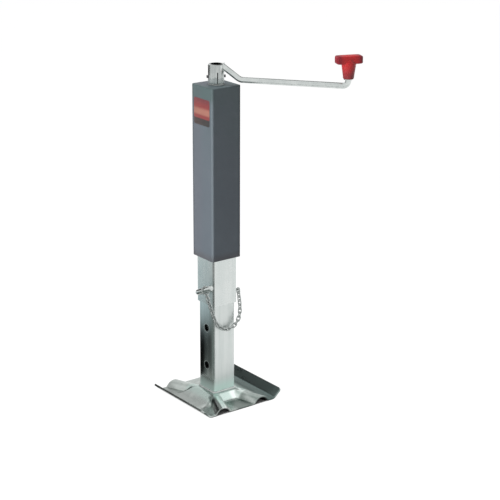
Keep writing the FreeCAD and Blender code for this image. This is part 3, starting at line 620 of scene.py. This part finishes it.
def crank_rod():
    """The bent rod: a flat path of (distance from the axis, height) that runs down the spindle, round the
    elbow, level to the neck and up to the hub, with a round section whose radius steps at the shoulder."""
    reach = NECK_BEND * math.tan(NECK_TILT / 2)
    tilt = np.array([math.cos(NECK_TILT), -math.sin(NECK_TILT)])
    corner = np.array([NECK_OUT, LEVEL])
    root = corner - tilt * ((NECK_OUT - ROD_ROOT) / tilt[0])
    spindle_heights = [SPINDLE_TOP, SPINDLE_TOP, SPINDLE_TOP - SPINDLE_TAPER,
                       SHOULDER, SHOULDER, SHOULDER - SHOULDER_EASE]
    flat = np.concatenate([
        [[THROW, height] for height in spindle_heights],
        arc((THROW - ELBOW, LEVEL + ELBOW), ELBOW, 0.0, -90.0, 14),
        np.linspace([THROW - ELBOW, LEVEL], [NECK_OUT + reach, LEVEL], 16)[1:-1],
        arc((NECK_OUT + reach, LEVEL + NECK_BEND), NECK_BEND, -90.0, -90.0 - math.degrees(NECK_TILT), 9),
        np.linspace(corner - tilt * reach, root, 6)[1:],
        [root],
    ])
    radius = np.full(len(flat), ROD)
    radius[:6] = [0.0, SPINDLE - SPINDLE_EASE, SPINDLE, SPINDLE, ROD - SHOULDER_EASE, ROD]
    radius[-1] = 0.0
    path = flat[:, :1] * CRANK_WAY + flat[:, 1:] * UP
    gap = HAIR * np.arange(len(path))[:, None]
    return round_rod(path - gap * UP, CRANK_SIDE, radius, around=28)


def hub_bead():
    """The weld where the rod meets the hub: a round section carried along the curve on the rod's surface
    that is one hub radius from the axis, swelling and shrinking in ripples along the curve."""
    turn = np.linspace(0, 2 * np.pi, 96, endpoint=False)
    lift, side = ROD * np.cos(turn), ROD * np.sin(turn)
    out = np.sqrt(HUB_RADIUS ** 2 - side ** 2)
    inward = NECK_OUT - (out - lift * math.sin(NECK_TILT))
    height = LEVEL + inward * math.tan(NECK_TILT) + lift * math.cos(NECK_TILT)
    path = out[:, None] * CRANK_WAY + side[:, None] * CRANK_SIDE + height[:, None] * UP
    size = rippled(HUB_BEAD, turn, (0.14 * HUB_BEAD, 17, 0.0), (0.10 * HUB_BEAD, 7, 1.0))
    ahead = heading(path, True)
    outward = unit(path * (X_WAY + Y_WAY))
    first = unit(outward - np.sum(outward * ahead, axis=1, keepdims=True) * ahead)
    return bead(path, first, np.cross(ahead, first), size, 12, True)


put_on(add_piece("crank_rod", *stack(crank_rod(), hub_bead()), rod_zinc), "crank_arm")

BAR_BOTTOM, BAR_HALF = 782.0 * MM, np.array([28.5, 12.0, 8.5]) * MM
BORE, BORE_TOP = 5.05 * MM, 791.0 * MM
GROOVE, GROOVE_LOW, GROOVE_HIGH = 7.0 * MM, 778.6 * MM, 781.0 * MM
KNOB_FOOT, STEM_EASE = 750.0 * MM, 1.0 * MM
STEM_FOOT, STEM_FLARE, STEM_TOP = 11.5 * MM, 4.3 * MM, 793.0 * MM
SWELL_MIDDLE, SWELL_RADIUS = np.array([12.2, 783.4]) * MM, 3.7 * MM


def knob_bar():
    """The bar of the knob: a rounded block x = a c(u) c(v), y = b s(u) c(v), z = h s(v), where c and s are
    the cosine and sine with their sizes raised to a small power."""
    u = np.linspace(-np.pi, np.pi, 97)[:-1, None]
    v = np.linspace(-np.pi / 2, np.pi / 2, 49)[None, :]
    girth = squared(np.cos(v), 0.20)
    girth[:, [0, -1]] = 0.0
    x = BAR_HALF[0] * squared(np.cos(u), 0.22) * girth
    y = BAR_HALF[1] * squared(np.sin(u), 0.30) * girth
    z = BAR_HALF[2] * squared(np.sin(v), 0.24) + BAR_BOTTOM + BAR_HALF[2] + 0 * u
    return np.stack([x, y, z], axis=-1), grid_quads(*x.shape, True, False)


def knob_stem():
    """The stem of the knob: a profile spun about the spindle that runs down the blind bore with its groove
    for the clip, round the foot, widens slowly upwards, flares under the bar and draws in again to the
    bar's depth, with the corner between rounded."""
    bore = [[0.0, BORE_TOP], [BORE, BORE_TOP], [BORE, GROOVE_HIGH], [GROOVE, GROOVE_HIGH],
            [GROOVE, GROOVE_LOW], [BORE, GROOVE_LOW]]
    foot = [[BORE, KNOB_FOOT], [STEM_FOOT - 1.3 * STEM_EASE, KNOB_FOOT],
            [STEM_FOOT - 0.5 * STEM_EASE, KNOB_FOOT + 0.3 * STEM_EASE], [STEM_FOOT, KNOB_FOOT + STEM_EASE]]
    rise = np.linspace(0, 1, 25)[1:]
    cone = np.stack([STEM_FOOT + STEM_FLARE * rise ** 1.15,
                     KNOB_FOOT + STEM_EASE + (BAR_BOTTOM - KNOB_FOOT - STEM_EASE) * rise], axis=-1)
    swell = arc(SWELL_MIDDLE, SWELL_RADIUS, -8.0, 62.0, 9)
    neck = [[BAR_HALF[1], STEM_TOP], [0.0, STEM_TOP]]
    return turned(np.concatenate([bore, foot, cone, swell, neck]), 56)


def crank_knob():
    """The bar and the stem, turned about the spindle's axis and set at the end of the crank."""
    points, quads = stack(knob_bar(), knob_stem())
    c, s = math.cos(KNOB_TURN), math.sin(KNOB_TURN)
    turn = np.array([[c, s, 0.0], [-s, c, 0.0], [0.0, 0.0, 1.0]])
    return points @ turn + KNOB_MIDDLE, quads


put_on(add_piece("knob_moulding", *crank_knob(), knob_red, sharp=50.0), "crank_knob")


# Locking pin, its ring, the staple and the chain

PIN_HEIGHT, PIN_TIP, PIN_OUT, PIN_BEND = 259.0 * MM, 41.0 * MM, 57.0 * MM, 14.0 * MM
PIN_EASE = 2.5 * MM
HANDLE_LENGTH, HANDLE_TILT = 66.0 * MM, math.radians(25.5)
HANDLE_WAY = np.array([0.0, -math.cos(HANDLE_TILT), math.sin(HANDLE_TILT)])
HANDLE_SIDE = np.array([0.0, math.sin(HANDLE_TILT), math.cos(HANDLE_TILT)])
RING_OUT, RING_RADIUS, RING_WIRE, RING_GAP = 40.0 * MM, 9.5 * MM, 1.3 * MM, 0.05 * MM
RING_DROP = RING_RADIUS - RING_WIRE - ROD - RING_GAP
RING_MIDDLE = -PIN_OUT * X_WAY + PIN_HEIGHT * UP + RING_OUT * HANDLE_WAY - RING_DROP * HANDLE_SIDE
EYE_HALF, EYE_LEG, EYE_WIRE, EYE_SUNK = 6.0 * MM, 5.0 * MM, 2.0 * MM, 0.5 * MM
EYE_ROOT = np.array([31.75, -22.0, 252.0]) * MM


def locking_pin():
    """The pin and its handle: a flat path along X, round the bend and up the tilted handle, with a round
    section drawn in at both ends."""
    flat = np.concatenate([
        [[PIN_TIP, 0], [PIN_TIP, 0], [PIN_TIP - PIN_EASE, 0]],
        np.linspace([PIN_TIP - 1.2 * PIN_EASE, 0], [PIN_BEND - PIN_OUT, 0], 10),
        arc((PIN_BEND - PIN_OUT, PIN_BEND), PIN_BEND, -90.0, -180.0, 14)[1:],
        [[-PIN_OUT, HANDLE_LENGTH - PIN_EASE], [-PIN_OUT, HANDLE_LENGTH], [-PIN_OUT, HANDLE_LENGTH]],
    ])
    radius = np.full(len(flat), ROD)
    radius[:3] = [0.0, ROD - PIN_EASE, ROD]
    radius[-3:] = [ROD, ROD - PIN_EASE, 0.0]
    path = flat[:, :1] * X_WAY + flat[:, 1:] * HANDLE_WAY + PIN_HEIGHT * UP
    gap = HAIR * np.arange(len(path))[:, None]
    return round_rod(path - gap * X_WAY + gap * HANDLE_WAY, HANDLE_SIDE, radius, around=24)


def handle_ring():
    """The ring on the handle: a circle square to the handle, hung so that its inside touches the top."""
    angle = np.linspace(0, 2 * np.pi, 64, endpoint=False)[:, None]
    path = RING_MIDDLE + RING_RADIUS * (np.cos(angle) * X_WAY + np.sin(angle) * HANDLE_SIDE)
    return round_rod(path, HANDLE_WAY, RING_WIRE, around=12, closed=True)


def staple():
    """The staple: a level U of round wire whose ends go into the ram and are closed there."""
    flat = np.concatenate([
        [[-1.2 * EYE_SUNK, -EYE_HALF], [-EYE_SUNK, -EYE_HALF]],
        arc((EYE_LEG, 0.0), EYE_HALF, -90.0, 90.0, 24),
        [[-EYE_SUNK, EYE_HALF], [-1.2 * EYE_SUNK, EYE_HALF]],
    ])
    radius = np.full(len(flat), EYE_WIRE)
    radius[[0, -1]] = 0.0
    return round_rod(EYE_ROOT + flat[:, :1] * X_WAY + flat[:, 1:] * Y_WAY, UP, radius, around=14)


put_on(add_piece("pin_rod", *locking_pin(), rod_zinc, sharp=50.0), "lock_pin")
put_on(add_piece("handle_ring", *handle_ring(), chain_zinc), "chain_ring")
put_on(add_piece("ram_staple", *staple(), chain_zinc), "chain_eye")

# The chain's route between the ring and the staple, as in the solids.
CHAIN_ROUTE = np.array([
    (-52.5, -43.5, 247.0),
    (-46.5, -45.0, 227.0),
    (-38.0, -44.0, 205.0),
    (-23.0, -39.0, 184.0),
    (-4.0, -36.5, 172.0),
    (16.0, -37.0, 173.5),
    (31.0, -38.0, 188.0),
    (39.0, -34.0, 208.0),
    (42.5, -27.0, 230.0),
]) * MM
LINK_COUNT = 25
LINK_WIDTH, LINK_WIRE, LINK_SLACK = 10.4 * MM, 1.4 * MM, 1.0 * MM

# The height near the ring at which the chain follows the pin alone.
CHAIN_TOP = PIN_HEIGHT + RING_OUT * HANDLE_WAY[2] - 10.0 * MM


def route_line(spots, count):
    """Many points of the smooth line through the spots: between two spots it is the cubic whose bending
    changes evenly, with bends that match at each spot and none at the two ends."""
    knots = np.concatenate([[0.0], np.cumsum(np.linalg.norm(np.diff(spots, axis=0), axis=1))])
    gaps = np.diff(knots)
    size = len(spots)
    system = np.eye(size)
    inside = np.arange(1, size - 1)
    system[inside, inside - 1] = gaps[:-1]
    system[inside, inside] = 2 * (gaps[:-1] + gaps[1:])
    system[inside, inside + 1] = gaps[1:]
    slopes = np.diff(spots, axis=0) / gaps[:, None]
    bends = np.zeros_like(spots)
    bends[1:-1] = 6 * np.diff(slopes, axis=0)
    bends = np.linalg.solve(system, bends)
    at = np.linspace(0, knots[-1], count)
    n = np.clip(np.searchsorted(knots, at, side="right") - 1, 0, size - 2)
    h = gaps[n][:, None]
    a, b = (knots[n + 1] - at)[:, None] / h, (at - knots[n])[:, None] / h
    return (a * spots[n] + b * spots[n + 1]
            + ((a ** 3 - a) * bends[n] + (b ** 3 - b) * bends[n + 1]) * h * h / 6)


def chain_links():
    """All the links: one flat long ring of round wire, set at equal steps along the route with its long
    axis along the line and rolled a quarter turn from link to link. With them go the quads of one link and
    the number of the lowest link."""
    first = RING_MIDDLE - RING_RADIUS * HANDLE_SIDE
    last = EYE_ROOT + (EYE_LEG + EYE_HALF) * X_WAY
    line = route_line(np.concatenate([[first], CHAIN_ROUTE, [last]]), 4001)
    run = np.concatenate([[0.0], np.cumsum(np.linalg.norm(np.diff(line, axis=0), axis=1))])
    pitch = (run[-1] + RING_WIRE + EYE_WIRE) / LINK_COUNT
    count = np.arange(LINK_COUNT)
    at = (count + 0.5) * pitch - RING_WIRE
    back, middle, fore = (np.stack([np.interp(at + shift, run, line[:, n]) for n in range(3)], axis=-1)
                          for shift in (-1 * MM, 0.0, 1 * MM))
    along = unit(fore - back)
    level = unit(-Y_WAY + np.sum(along * Y_WAY, axis=1, keepdims=True) * along)
    beside = np.cross(level, along)
    roll = np.radians(90 * (count % 2) + 90 * (1 - count / (LINK_COUNT - 1)))[:, None]
    across = np.cos(roll) * beside + np.sin(roll) * level
    normal = np.cross(along, across)
    half_width = LINK_WIDTH / 2 - LINK_WIRE
    straight = (pitch + 4 * LINK_WIRE + LINK_SLACK) / 2 - LINK_WIRE - half_width
    flat = np.concatenate([
        arc((straight, 0.0), half_width, -90.0, 90.0, 13),
        arc((-straight, 0.0), half_width, 90.0, 270.0, 13),
    ])
    ring = flat[:, :1] * X_WAY + flat[:, 1:] * Y_WAY
    shape, quads = round_rod(ring, UP, LINK_WIRE, around=10, closed=True)
    shape = shape.reshape(-1, 3)
    points = (middle[:, None] + shape[None, :, :1] * along[:, None]
              + shape[None, :, 1:2] * across[:, None] + shape[None, :, 2:] * normal[:, None])
    return points, quads, int(np.argmin(middle[:, 2]))


def hang_chain():
    """The chain in two runs that meet at its lowest link, each made as a piece of its own."""
    points, quads, lowest = chain_links()
    bottom = float(points[lowest, :, 2].mean())
    for name, chosen, start, end in (
        ("chain_pin_run", points[:lowest], 2 * bottom - CHAIN_TOP, CHAIN_TOP),
        ("chain_ram_run", points[lowest:], EYE_ROOT[2], 2 * bottom - EYE_ROOT[2]),
    ):
        made = add_piece(name, *stack(*((link, quads) for link in chosen)), chain_zinc)
        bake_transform(made)
        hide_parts("pin_chain")


hang_chain()


# Foot plate and the weld round the leg

SHEET = 4.0 * MM
FOOT_HALF_DEPTH = 97.5 * MM
SEAT_HALF, SEAT_SLOPE_X, SEAT_SLOPE_Y = 34.0 * MM, 46.0 * MM, 22.0 * MM
SEAT_EASE, SEAT_TOP_EASE, SEAT_FOOT_EASE = 5.0 * MM, 2.5 * MM, 3.5 * MM
RIB_START, RIB_EASE = 22.0 * MM, 5.0 * MM
RIB_MIDDLE, RIB_SWING = 25.0 * MM, 28.0 * MM
RIB_HALF, RIB_WIDENING = 13.0 * MM, 8.0 * MM
RIB_RISE, RIB_SINKING = 18.5 * MM, 1.5 * MM
BEND_START, BEND_RADIUS, BEND_EASE = 83.626 * MM, 14.0 * MM, 6.0 * MM
WING_ANGLE, WING_RUN, WING_CORNER = math.radians(42.0), 22.884 * MM, 7.0 * MM


def stamping(x, y, skin):
    """Height of one face of the stamping over the ground at (x, y), with skin the depth below the upper
    face: the smooth maximum of the flat sheet, the seat, whose four sides slope away from its level top,
    and four ribs of round section that swing out and widen from the seat's corners to the edges."""
    ax, ay = np.abs(x), np.abs(y)
    top, inset = SEAT_HEIGHT - skin, skin / 2
    slope_x = top * (1 - (ax - SEAT_HALF + inset) / (SEAT_SLOPE_X - 2 * skin))
    slope_y = top * (1 - (ay - SEAT_HALF + inset) / (SEAT_SLOPE_Y - inset))
    seat = smooth_min(smooth_min(slope_x, slope_y, SEAT_EASE), top, SEAT_TOP_EASE)
    t = np.clip((ay - RIB_START) / (FOOT_HALF_DEPTH - RIB_START), 0, 1)
    away = np.abs(ax - RIB_MIDDLE - RIB_SWING * t)
    half = RIB_HALF + RIB_WIDENING * t - skin
    rise = RIB_RISE - RIB_SINKING * t - skin
    bow = (half ** 2 + rise ** 2) / (2 * rise)
    rib = rise - bow + np.sqrt(np.clip(bow ** 2 - away ** 2, 0, None)) - 3 * np.clip(away - bow, 0, None)
    return smooth_max(smooth_max(SHEET - skin, seat, SEAT_FOOT_EASE), rib, RIB_EASE)


def foot_stamping():
    """The foot as a closed sheet: rows run across the foot from wing tip to wing tip, and each row is a
    loop along the upper face and back along the lower one. Past the fold a row turns up round the bend and
    then runs straight up the wing, and its ends are drawn in round the wing's corners. The last array is
    1 on the lower face and 0 on the upper one."""
    bend_run = BEND_RADIUS * WING_ANGLE
    length = BEND_START + bend_run + WING_RUN
    out = np.concatenate([
        np.linspace(0, BEND_START, 75),
        BEND_START + np.linspace(0, bend_run, 9)[1:],
        np.linspace(BEND_START + bend_run, length - WING_CORNER, 8)[1:-1],
        length - corner_steps(WING_CORNER, 9)[::-1],
    ])
    run = np.concatenate([-out[:0:-1], out])[:, None]
    far = np.abs(run)
    turn = np.clip((far - BEND_START) / BEND_RADIUS, 0, WING_ANGLE)
    straight = np.clip(far - BEND_START - bend_run, 0, None)
    depth = FOOT_HALF_DEPTH - WING_CORNER + corner_width(WING_CORNER, length - far)
    y = np.linspace(-1, 1, 141)[None, :] * depth
    flat = 1 - np.clip((far - BEND_START + BEND_EASE) / BEND_EASE, 0, 1)
    faces = []
    for skin in (0.0, SHEET):
        radius = BEND_RADIUS - SHEET + skin
        x = np.minimum(far, BEND_START) + radius * np.sin(turn) + straight * np.cos(WING_ANGLE)
        z = BEND_RADIUS - radius * np.cos(turn) + straight * np.sin(WING_ANGLE)
        x = np.sign(run) * x + 0 * y
        raised = stamping(x, y, skin) - (SHEET - skin)
        faces.append(np.stack([x, y, z + raised * flat], axis=-1))
    points, quads = thin_sheet(*faces)
    lower = np.concatenate([np.zeros_like(y), np.ones_like(y)], axis=1)
    return points, quads, lower


foot_points, foot_quads, foot_lower = foot_stamping()
put_on(add_piece("foot_stamping", foot_points, foot_quads, plate_zinc, 50.0, foot_lower), "foot_plate")

LEG_BEAD, BEAD_LIFT, BEAD_OUT = 2.9 * MM, 0.9 * MM, 0.6 * MM


def leg_bead():
    """The weld bead: a round section carried round the leg's rounded square, with ripples along it."""
    flat_half = LEG_HALF - LEG_CORNER
    run = np.linspace(-flat_half, flat_half, 40, endpoint=False)[:, None]
    bend = np.linspace(0, np.pi / 2, 12, endpoint=False)[:, None]
    sides = []
    for quarter in range(4):
        turn = quarter * math.pi / 2
        way = np.array([math.cos(turn), math.sin(turn), 0.0])
        left = np.array([-way[1], way[0], 0.0])
        sides.append(way * LEG_HALF + left * run)
        sides.append((way + left) * flat_half + LEG_CORNER * (np.cos(bend) * way + np.sin(bend) * left))
    square = np.concatenate(sides)
    outward = np.cross(heading(square, True), UP)
    path = square + (SEAT_HEIGHT + BEAD_LIFT) * UP + BEAD_OUT * outward
    turn = np.linspace(0, 2 * np.pi, len(path), endpoint=False)
    size = rippled(LEG_BEAD, turn, (0.35 * MM, 58, 0.0), (0.25 * MM, 5, 0.0))
    return bead(path, outward, UP, size, 14, True)


put_on(add_piece("leg_bead", *leg_bead(), weld_zinc), "leg_weld")


# Label

LABEL_WIDTH, LABEL_HEIGHT, LABEL_CORNER, LABEL_DROP = 57.0 * MM, 58.0 * MM, 4.0 * MM, 21.0 * MM
LABEL_BOTTOM = HOUSING_TOP - LABEL_DROP - LABEL_HEIGHT
LABEL_FACE, LABEL_BACK = HOUSING_HALF + 0.25 * MM, HOUSING_HALF - 0.05 * MM


def label_sheet():
    """A thin decal on the housing: rows of a rounded rectangle, as a loop over its face and its back."""
    corner = corner_steps(LABEL_CORNER, 7)
    rise = np.concatenate([
        corner,
        np.linspace(LABEL_CORNER, LABEL_HEIGHT - LABEL_CORNER, 12)[1:-1],
        LABEL_HEIGHT - corner[::-1],
    ])[:, None]
    inside = np.minimum(rise, LABEL_HEIGHT - rise)
    half = LABEL_WIDTH / 2 - LABEL_CORNER + corner_width(LABEL_CORNER, inside)
    y = half * np.linspace(-1, 1, 13)[None, :]
    z = LABEL_BOTTOM + rise + 0 * y
    face, back = (np.stack([np.full_like(y, -out), y, z], axis=-1) for out in (LABEL_FACE, LABEL_BACK))
    return thin_sheet(face, back)


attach(add_piece("housing_label", *label_sheet(), label_print(LABEL_BOTTOM, LABEL_HEIGHT)), "housing")


# Stage, light and camera

FLOOR_HALF, FLOOR_LEVEL = 6.0, -0.0005
CARD_LEVEL = 0.0005
SKY_RADIUS = 1.6
ROD_CARD_DROP = 0.06


def ray_kinds(tree):
    """Wires that are 1 for camera, glossy and transmission rays."""
    rays = Wire(tree).node("ShaderNodeLightPath").socket.node
    return [Wire(tree, rays.outputs[f"Is {kind} Ray"]) for kind in ("Camera", "Glossy", "Transmission")]


def bare_finish(name):
    """An empty material without a shader, and a wire of its Object coordinates."""
    finish = bpy.data.materials.new(name)
    finish.use_nodes = True
    finish.node_tree.nodes.clear()
    return finish, Wire(finish.node_tree).node("ShaderNodeTexCoord", out="Object")


def glow(place, colour, strength):
    """A surface that shines evenly in a colour."""
    return place.node("ShaderNodeEmission", None, {"Color": colour, "Strength": strength})


def floor_finish():
    """White to the camera and in reflections, and a plain pale surface to all other light. A small share
    of what the camera sees is the lit surface, which carries the shadow; under the foot it is all of it."""
    finish, place = bare_finish("floor_white")
    x, y, _ = axis_values(place)
    camera, glossy, through = ray_kinds(finish.node_tree)
    under = step(x * x, 0.0070, 0.0062) * step(y * y, 0.0095, 0.0089)
    pale = place.node("ShaderNodeBsdfDiffuse", None, {"Color": tint(0.86, 0.86, 0.86)})
    share = (0.9 * camera + glossy + through) * (1 - under)
    shown = place.node("ShaderNodeMixShader", None, {0: share, 1: pale, 2: glow(place, WHITE, 1.08)})
    place.node("ShaderNodeOutputMaterial", None, {"Surface": shown})
    return finish


def pale_floor():
    """A large level square under the jack. It goes with the ram, so the foot stands on it at any height."""
    run = np.linspace(-FLOOR_HALF, FLOOR_HALF, 3)
    x, y = np.meshgrid(run, run, indexing="ij")
    points = np.stack([x, y, np.full_like(x, FLOOR_LEVEL)], axis=-1)
    floor = add_piece("pale_floor", points, grid_quads(3, 3), floor_finish())
    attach(floor, "ram")


def reflector(finish, place, points, body, colour=WHITE, strength=1.0):
    """A glowing card of the stage that only reflections show, and that goes with one body."""
    place.node("ShaderNodeOutputMaterial", None, {"Surface": glow(place, colour, strength)})
    card = add_piece(finish.name, points, grid_quads(*points.shape[:2]), finish)
    card.visible_camera = card.visible_diffuse = card.visible_shadow = False
    card.visible_transmission = card.visible_volume_scatter = False
    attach(card, body)


def floor_card():
    """A level card on the floor, a piece of a wide ring with x = r cos a and y = r sin a, from behind the
    jack round its left to the front: black close behind on the left, pale blue-grey farther out there, and
    mid grey from the left round to the front."""
    finish, place = bare_finish("floor_card")
    x, y, _ = axis_values(place)
    turn = place.node("ShaderNodeMath", {"operation": "ARCTAN2"}, {0: x, 1: y}) * (-180 / math.pi)
    far = step((x * x + y * y) ** 0.5, 0.33, 0.66)
    side = step(turn, 36.0, 48.0)
    tone = blend(far, tint(0.010, 0.012, 0.012), tint(0.54, 0.65, 0.68))
    tone = blend(side, tone, tint(0.20, 0.23, 0.22))
    radius = np.linspace(0.14, 1.10, 25)[:, None]
    angle = np.radians(np.linspace(108.0, 262.0, 61))[None, :]
    spots = np.broadcast_arrays(radius * np.cos(angle), radius * np.sin(angle), CARD_LEVEL)
    reflector(finish, place, np.stack(spots, axis=-1), "ram", colour=tone)


def sky_cards():
    """Cards behind and above the jack, each a patch of a ball round it: x = r cos e cos a,
    y = r cos e sin a, z = r sin e. Two are black, one is grey, and one, towards the front, is brighter than
    the room."""
    for name, tone, start, end, low, high in (
        ("back_card", 0.012, 93.0, 133.0, 12.0, 50.0),
        ("low_card", 0.012, 76.0, 104.0, 2.0, 26.0),
        ("top_card", 0.30, -5.0, 55.0, 40.0, 78.0),
        ("front_card", 1.45, -60.0, -12.0, 32.0, 62.0),
    ):
        angle = np.radians(np.linspace(start, end, 29))[None, :]
        lift = np.radians(np.linspace(low, high, 31))[:, None]
        level = np.cos(lift)
        spots = np.broadcast_arrays(level * np.cos(angle), level * np.sin(angle), np.sin(lift))
        reflector(*bare_finish(name), SKY_RADIUS * np.stack(spots, axis=-1), "housing", strength=tone)


def rod_card():
    """A white level rectangle under the crank rod that keeps the jack's dark sides out of the rod."""
    out = np.linspace(0.075, 0.36, 8)[:, None, None]
    side = np.linspace(-0.07, 0.07, 5)[None, :, None]
    points = out * CRANK_WAY + side * CRANK_SIDE + (LEVEL - ROD_CARD_DROP) * UP
    reflector(*bare_finish("rod_card"), points, "crank")


def soft_box(name, place, aim, width, height, power):
    """A lamp with a rectangular face that looks at a point and doesn't show in reflections."""
    light = bpy.data.lights.new(name, "AREA")
    light.shape, light.size, light.size_y, light.energy = "RECTANGLE", width, height, power
    lamp = bpy.data.objects.new(name, light)
    lamp.location = place
    lamp.rotation_mode = "QUATERNION"
    lamp.rotation_quaternion = (Vector(aim) - Vector(place)).to_track_quat("-Z", "Y")
    lamp.visible_glossy = False
    bpy.context.scene.collection.objects.link(lamp)


def room():
    """A plain white room: white to the camera and in reflections, dimmer as a source of light."""
    world = bpy.data.worlds.new("white_room")
    world.use_nodes = True
    tree = world.node_tree
    tree.nodes.clear()
    camera, glossy, through = ray_kinds(tree)
    strength = 0.34 + 0.66 * (camera + glossy + through)
    back = strength.node("ShaderNodeBackground", None, {"Color": WHITE, "Strength": strength})
    back.node("ShaderNodeOutputWorld", None, {"Surface": back})
    bpy.context.scene.world = world


pale_floor()
floor_card()
sky_cards()
rod_card()
room()
soft_box("left_box", (-1.8, -0.12, 0.75), (0.0, 0.0, 0.45), 1.2, 1.4, 50.0)
soft_box("top_box", (0.1, 0.2, 2.4), (0.1, -0.1, 0.7), 0.7, 0.7, 30.0)

# The camera stands at a distance from a point beside the axis, turned about +Z and tilted down.
CAMERA_TURN, CAMERA_TILT, CAMERA_ROLL = math.radians(-36.92), math.radians(18.41), 0.0036
CAMERA_DISTANCE, AIM_RIGHT, AIM_HEIGHT = 3.5, 0.0737, 0.3479
LENS, SENSOR = 113.78, 36.0


def photo_camera():
    """A camera at the photograph's viewing angle."""
    lens = bpy.data.cameras.new("photo_camera")
    lens.lens, lens.sensor_width = LENS, SENSOR
    lens.clip_start, lens.clip_end = 0.05, 50.0
    camera = bpy.data.objects.new("photo_camera", lens)
    level = math.cos(CAMERA_TILT)
    away = Vector((math.sin(CAMERA_TURN) * level, -math.cos(CAMERA_TURN) * level, math.sin(CAMERA_TILT)))
    right = Vector((math.cos(CAMERA_TURN), math.sin(CAMERA_TURN), 0.0))
    camera.location = Vector((0.0, 0.0, AIM_HEIGHT)) + AIM_RIGHT * right + CAMERA_DISTANCE * away
    camera.rotation_mode = "QUATERNION"
    camera.rotation_quaternion = (-away).to_track_quat("-Z", "Y") @ Quaternion((0.0, 0.0, 1.0), CAMERA_ROLL)
    bpy.context.scene.collection.objects.link(camera)
    return camera


bpy.context.scene.camera = photo_camera()
bpy.context.scene.view_settings.view_transform = "Standard"
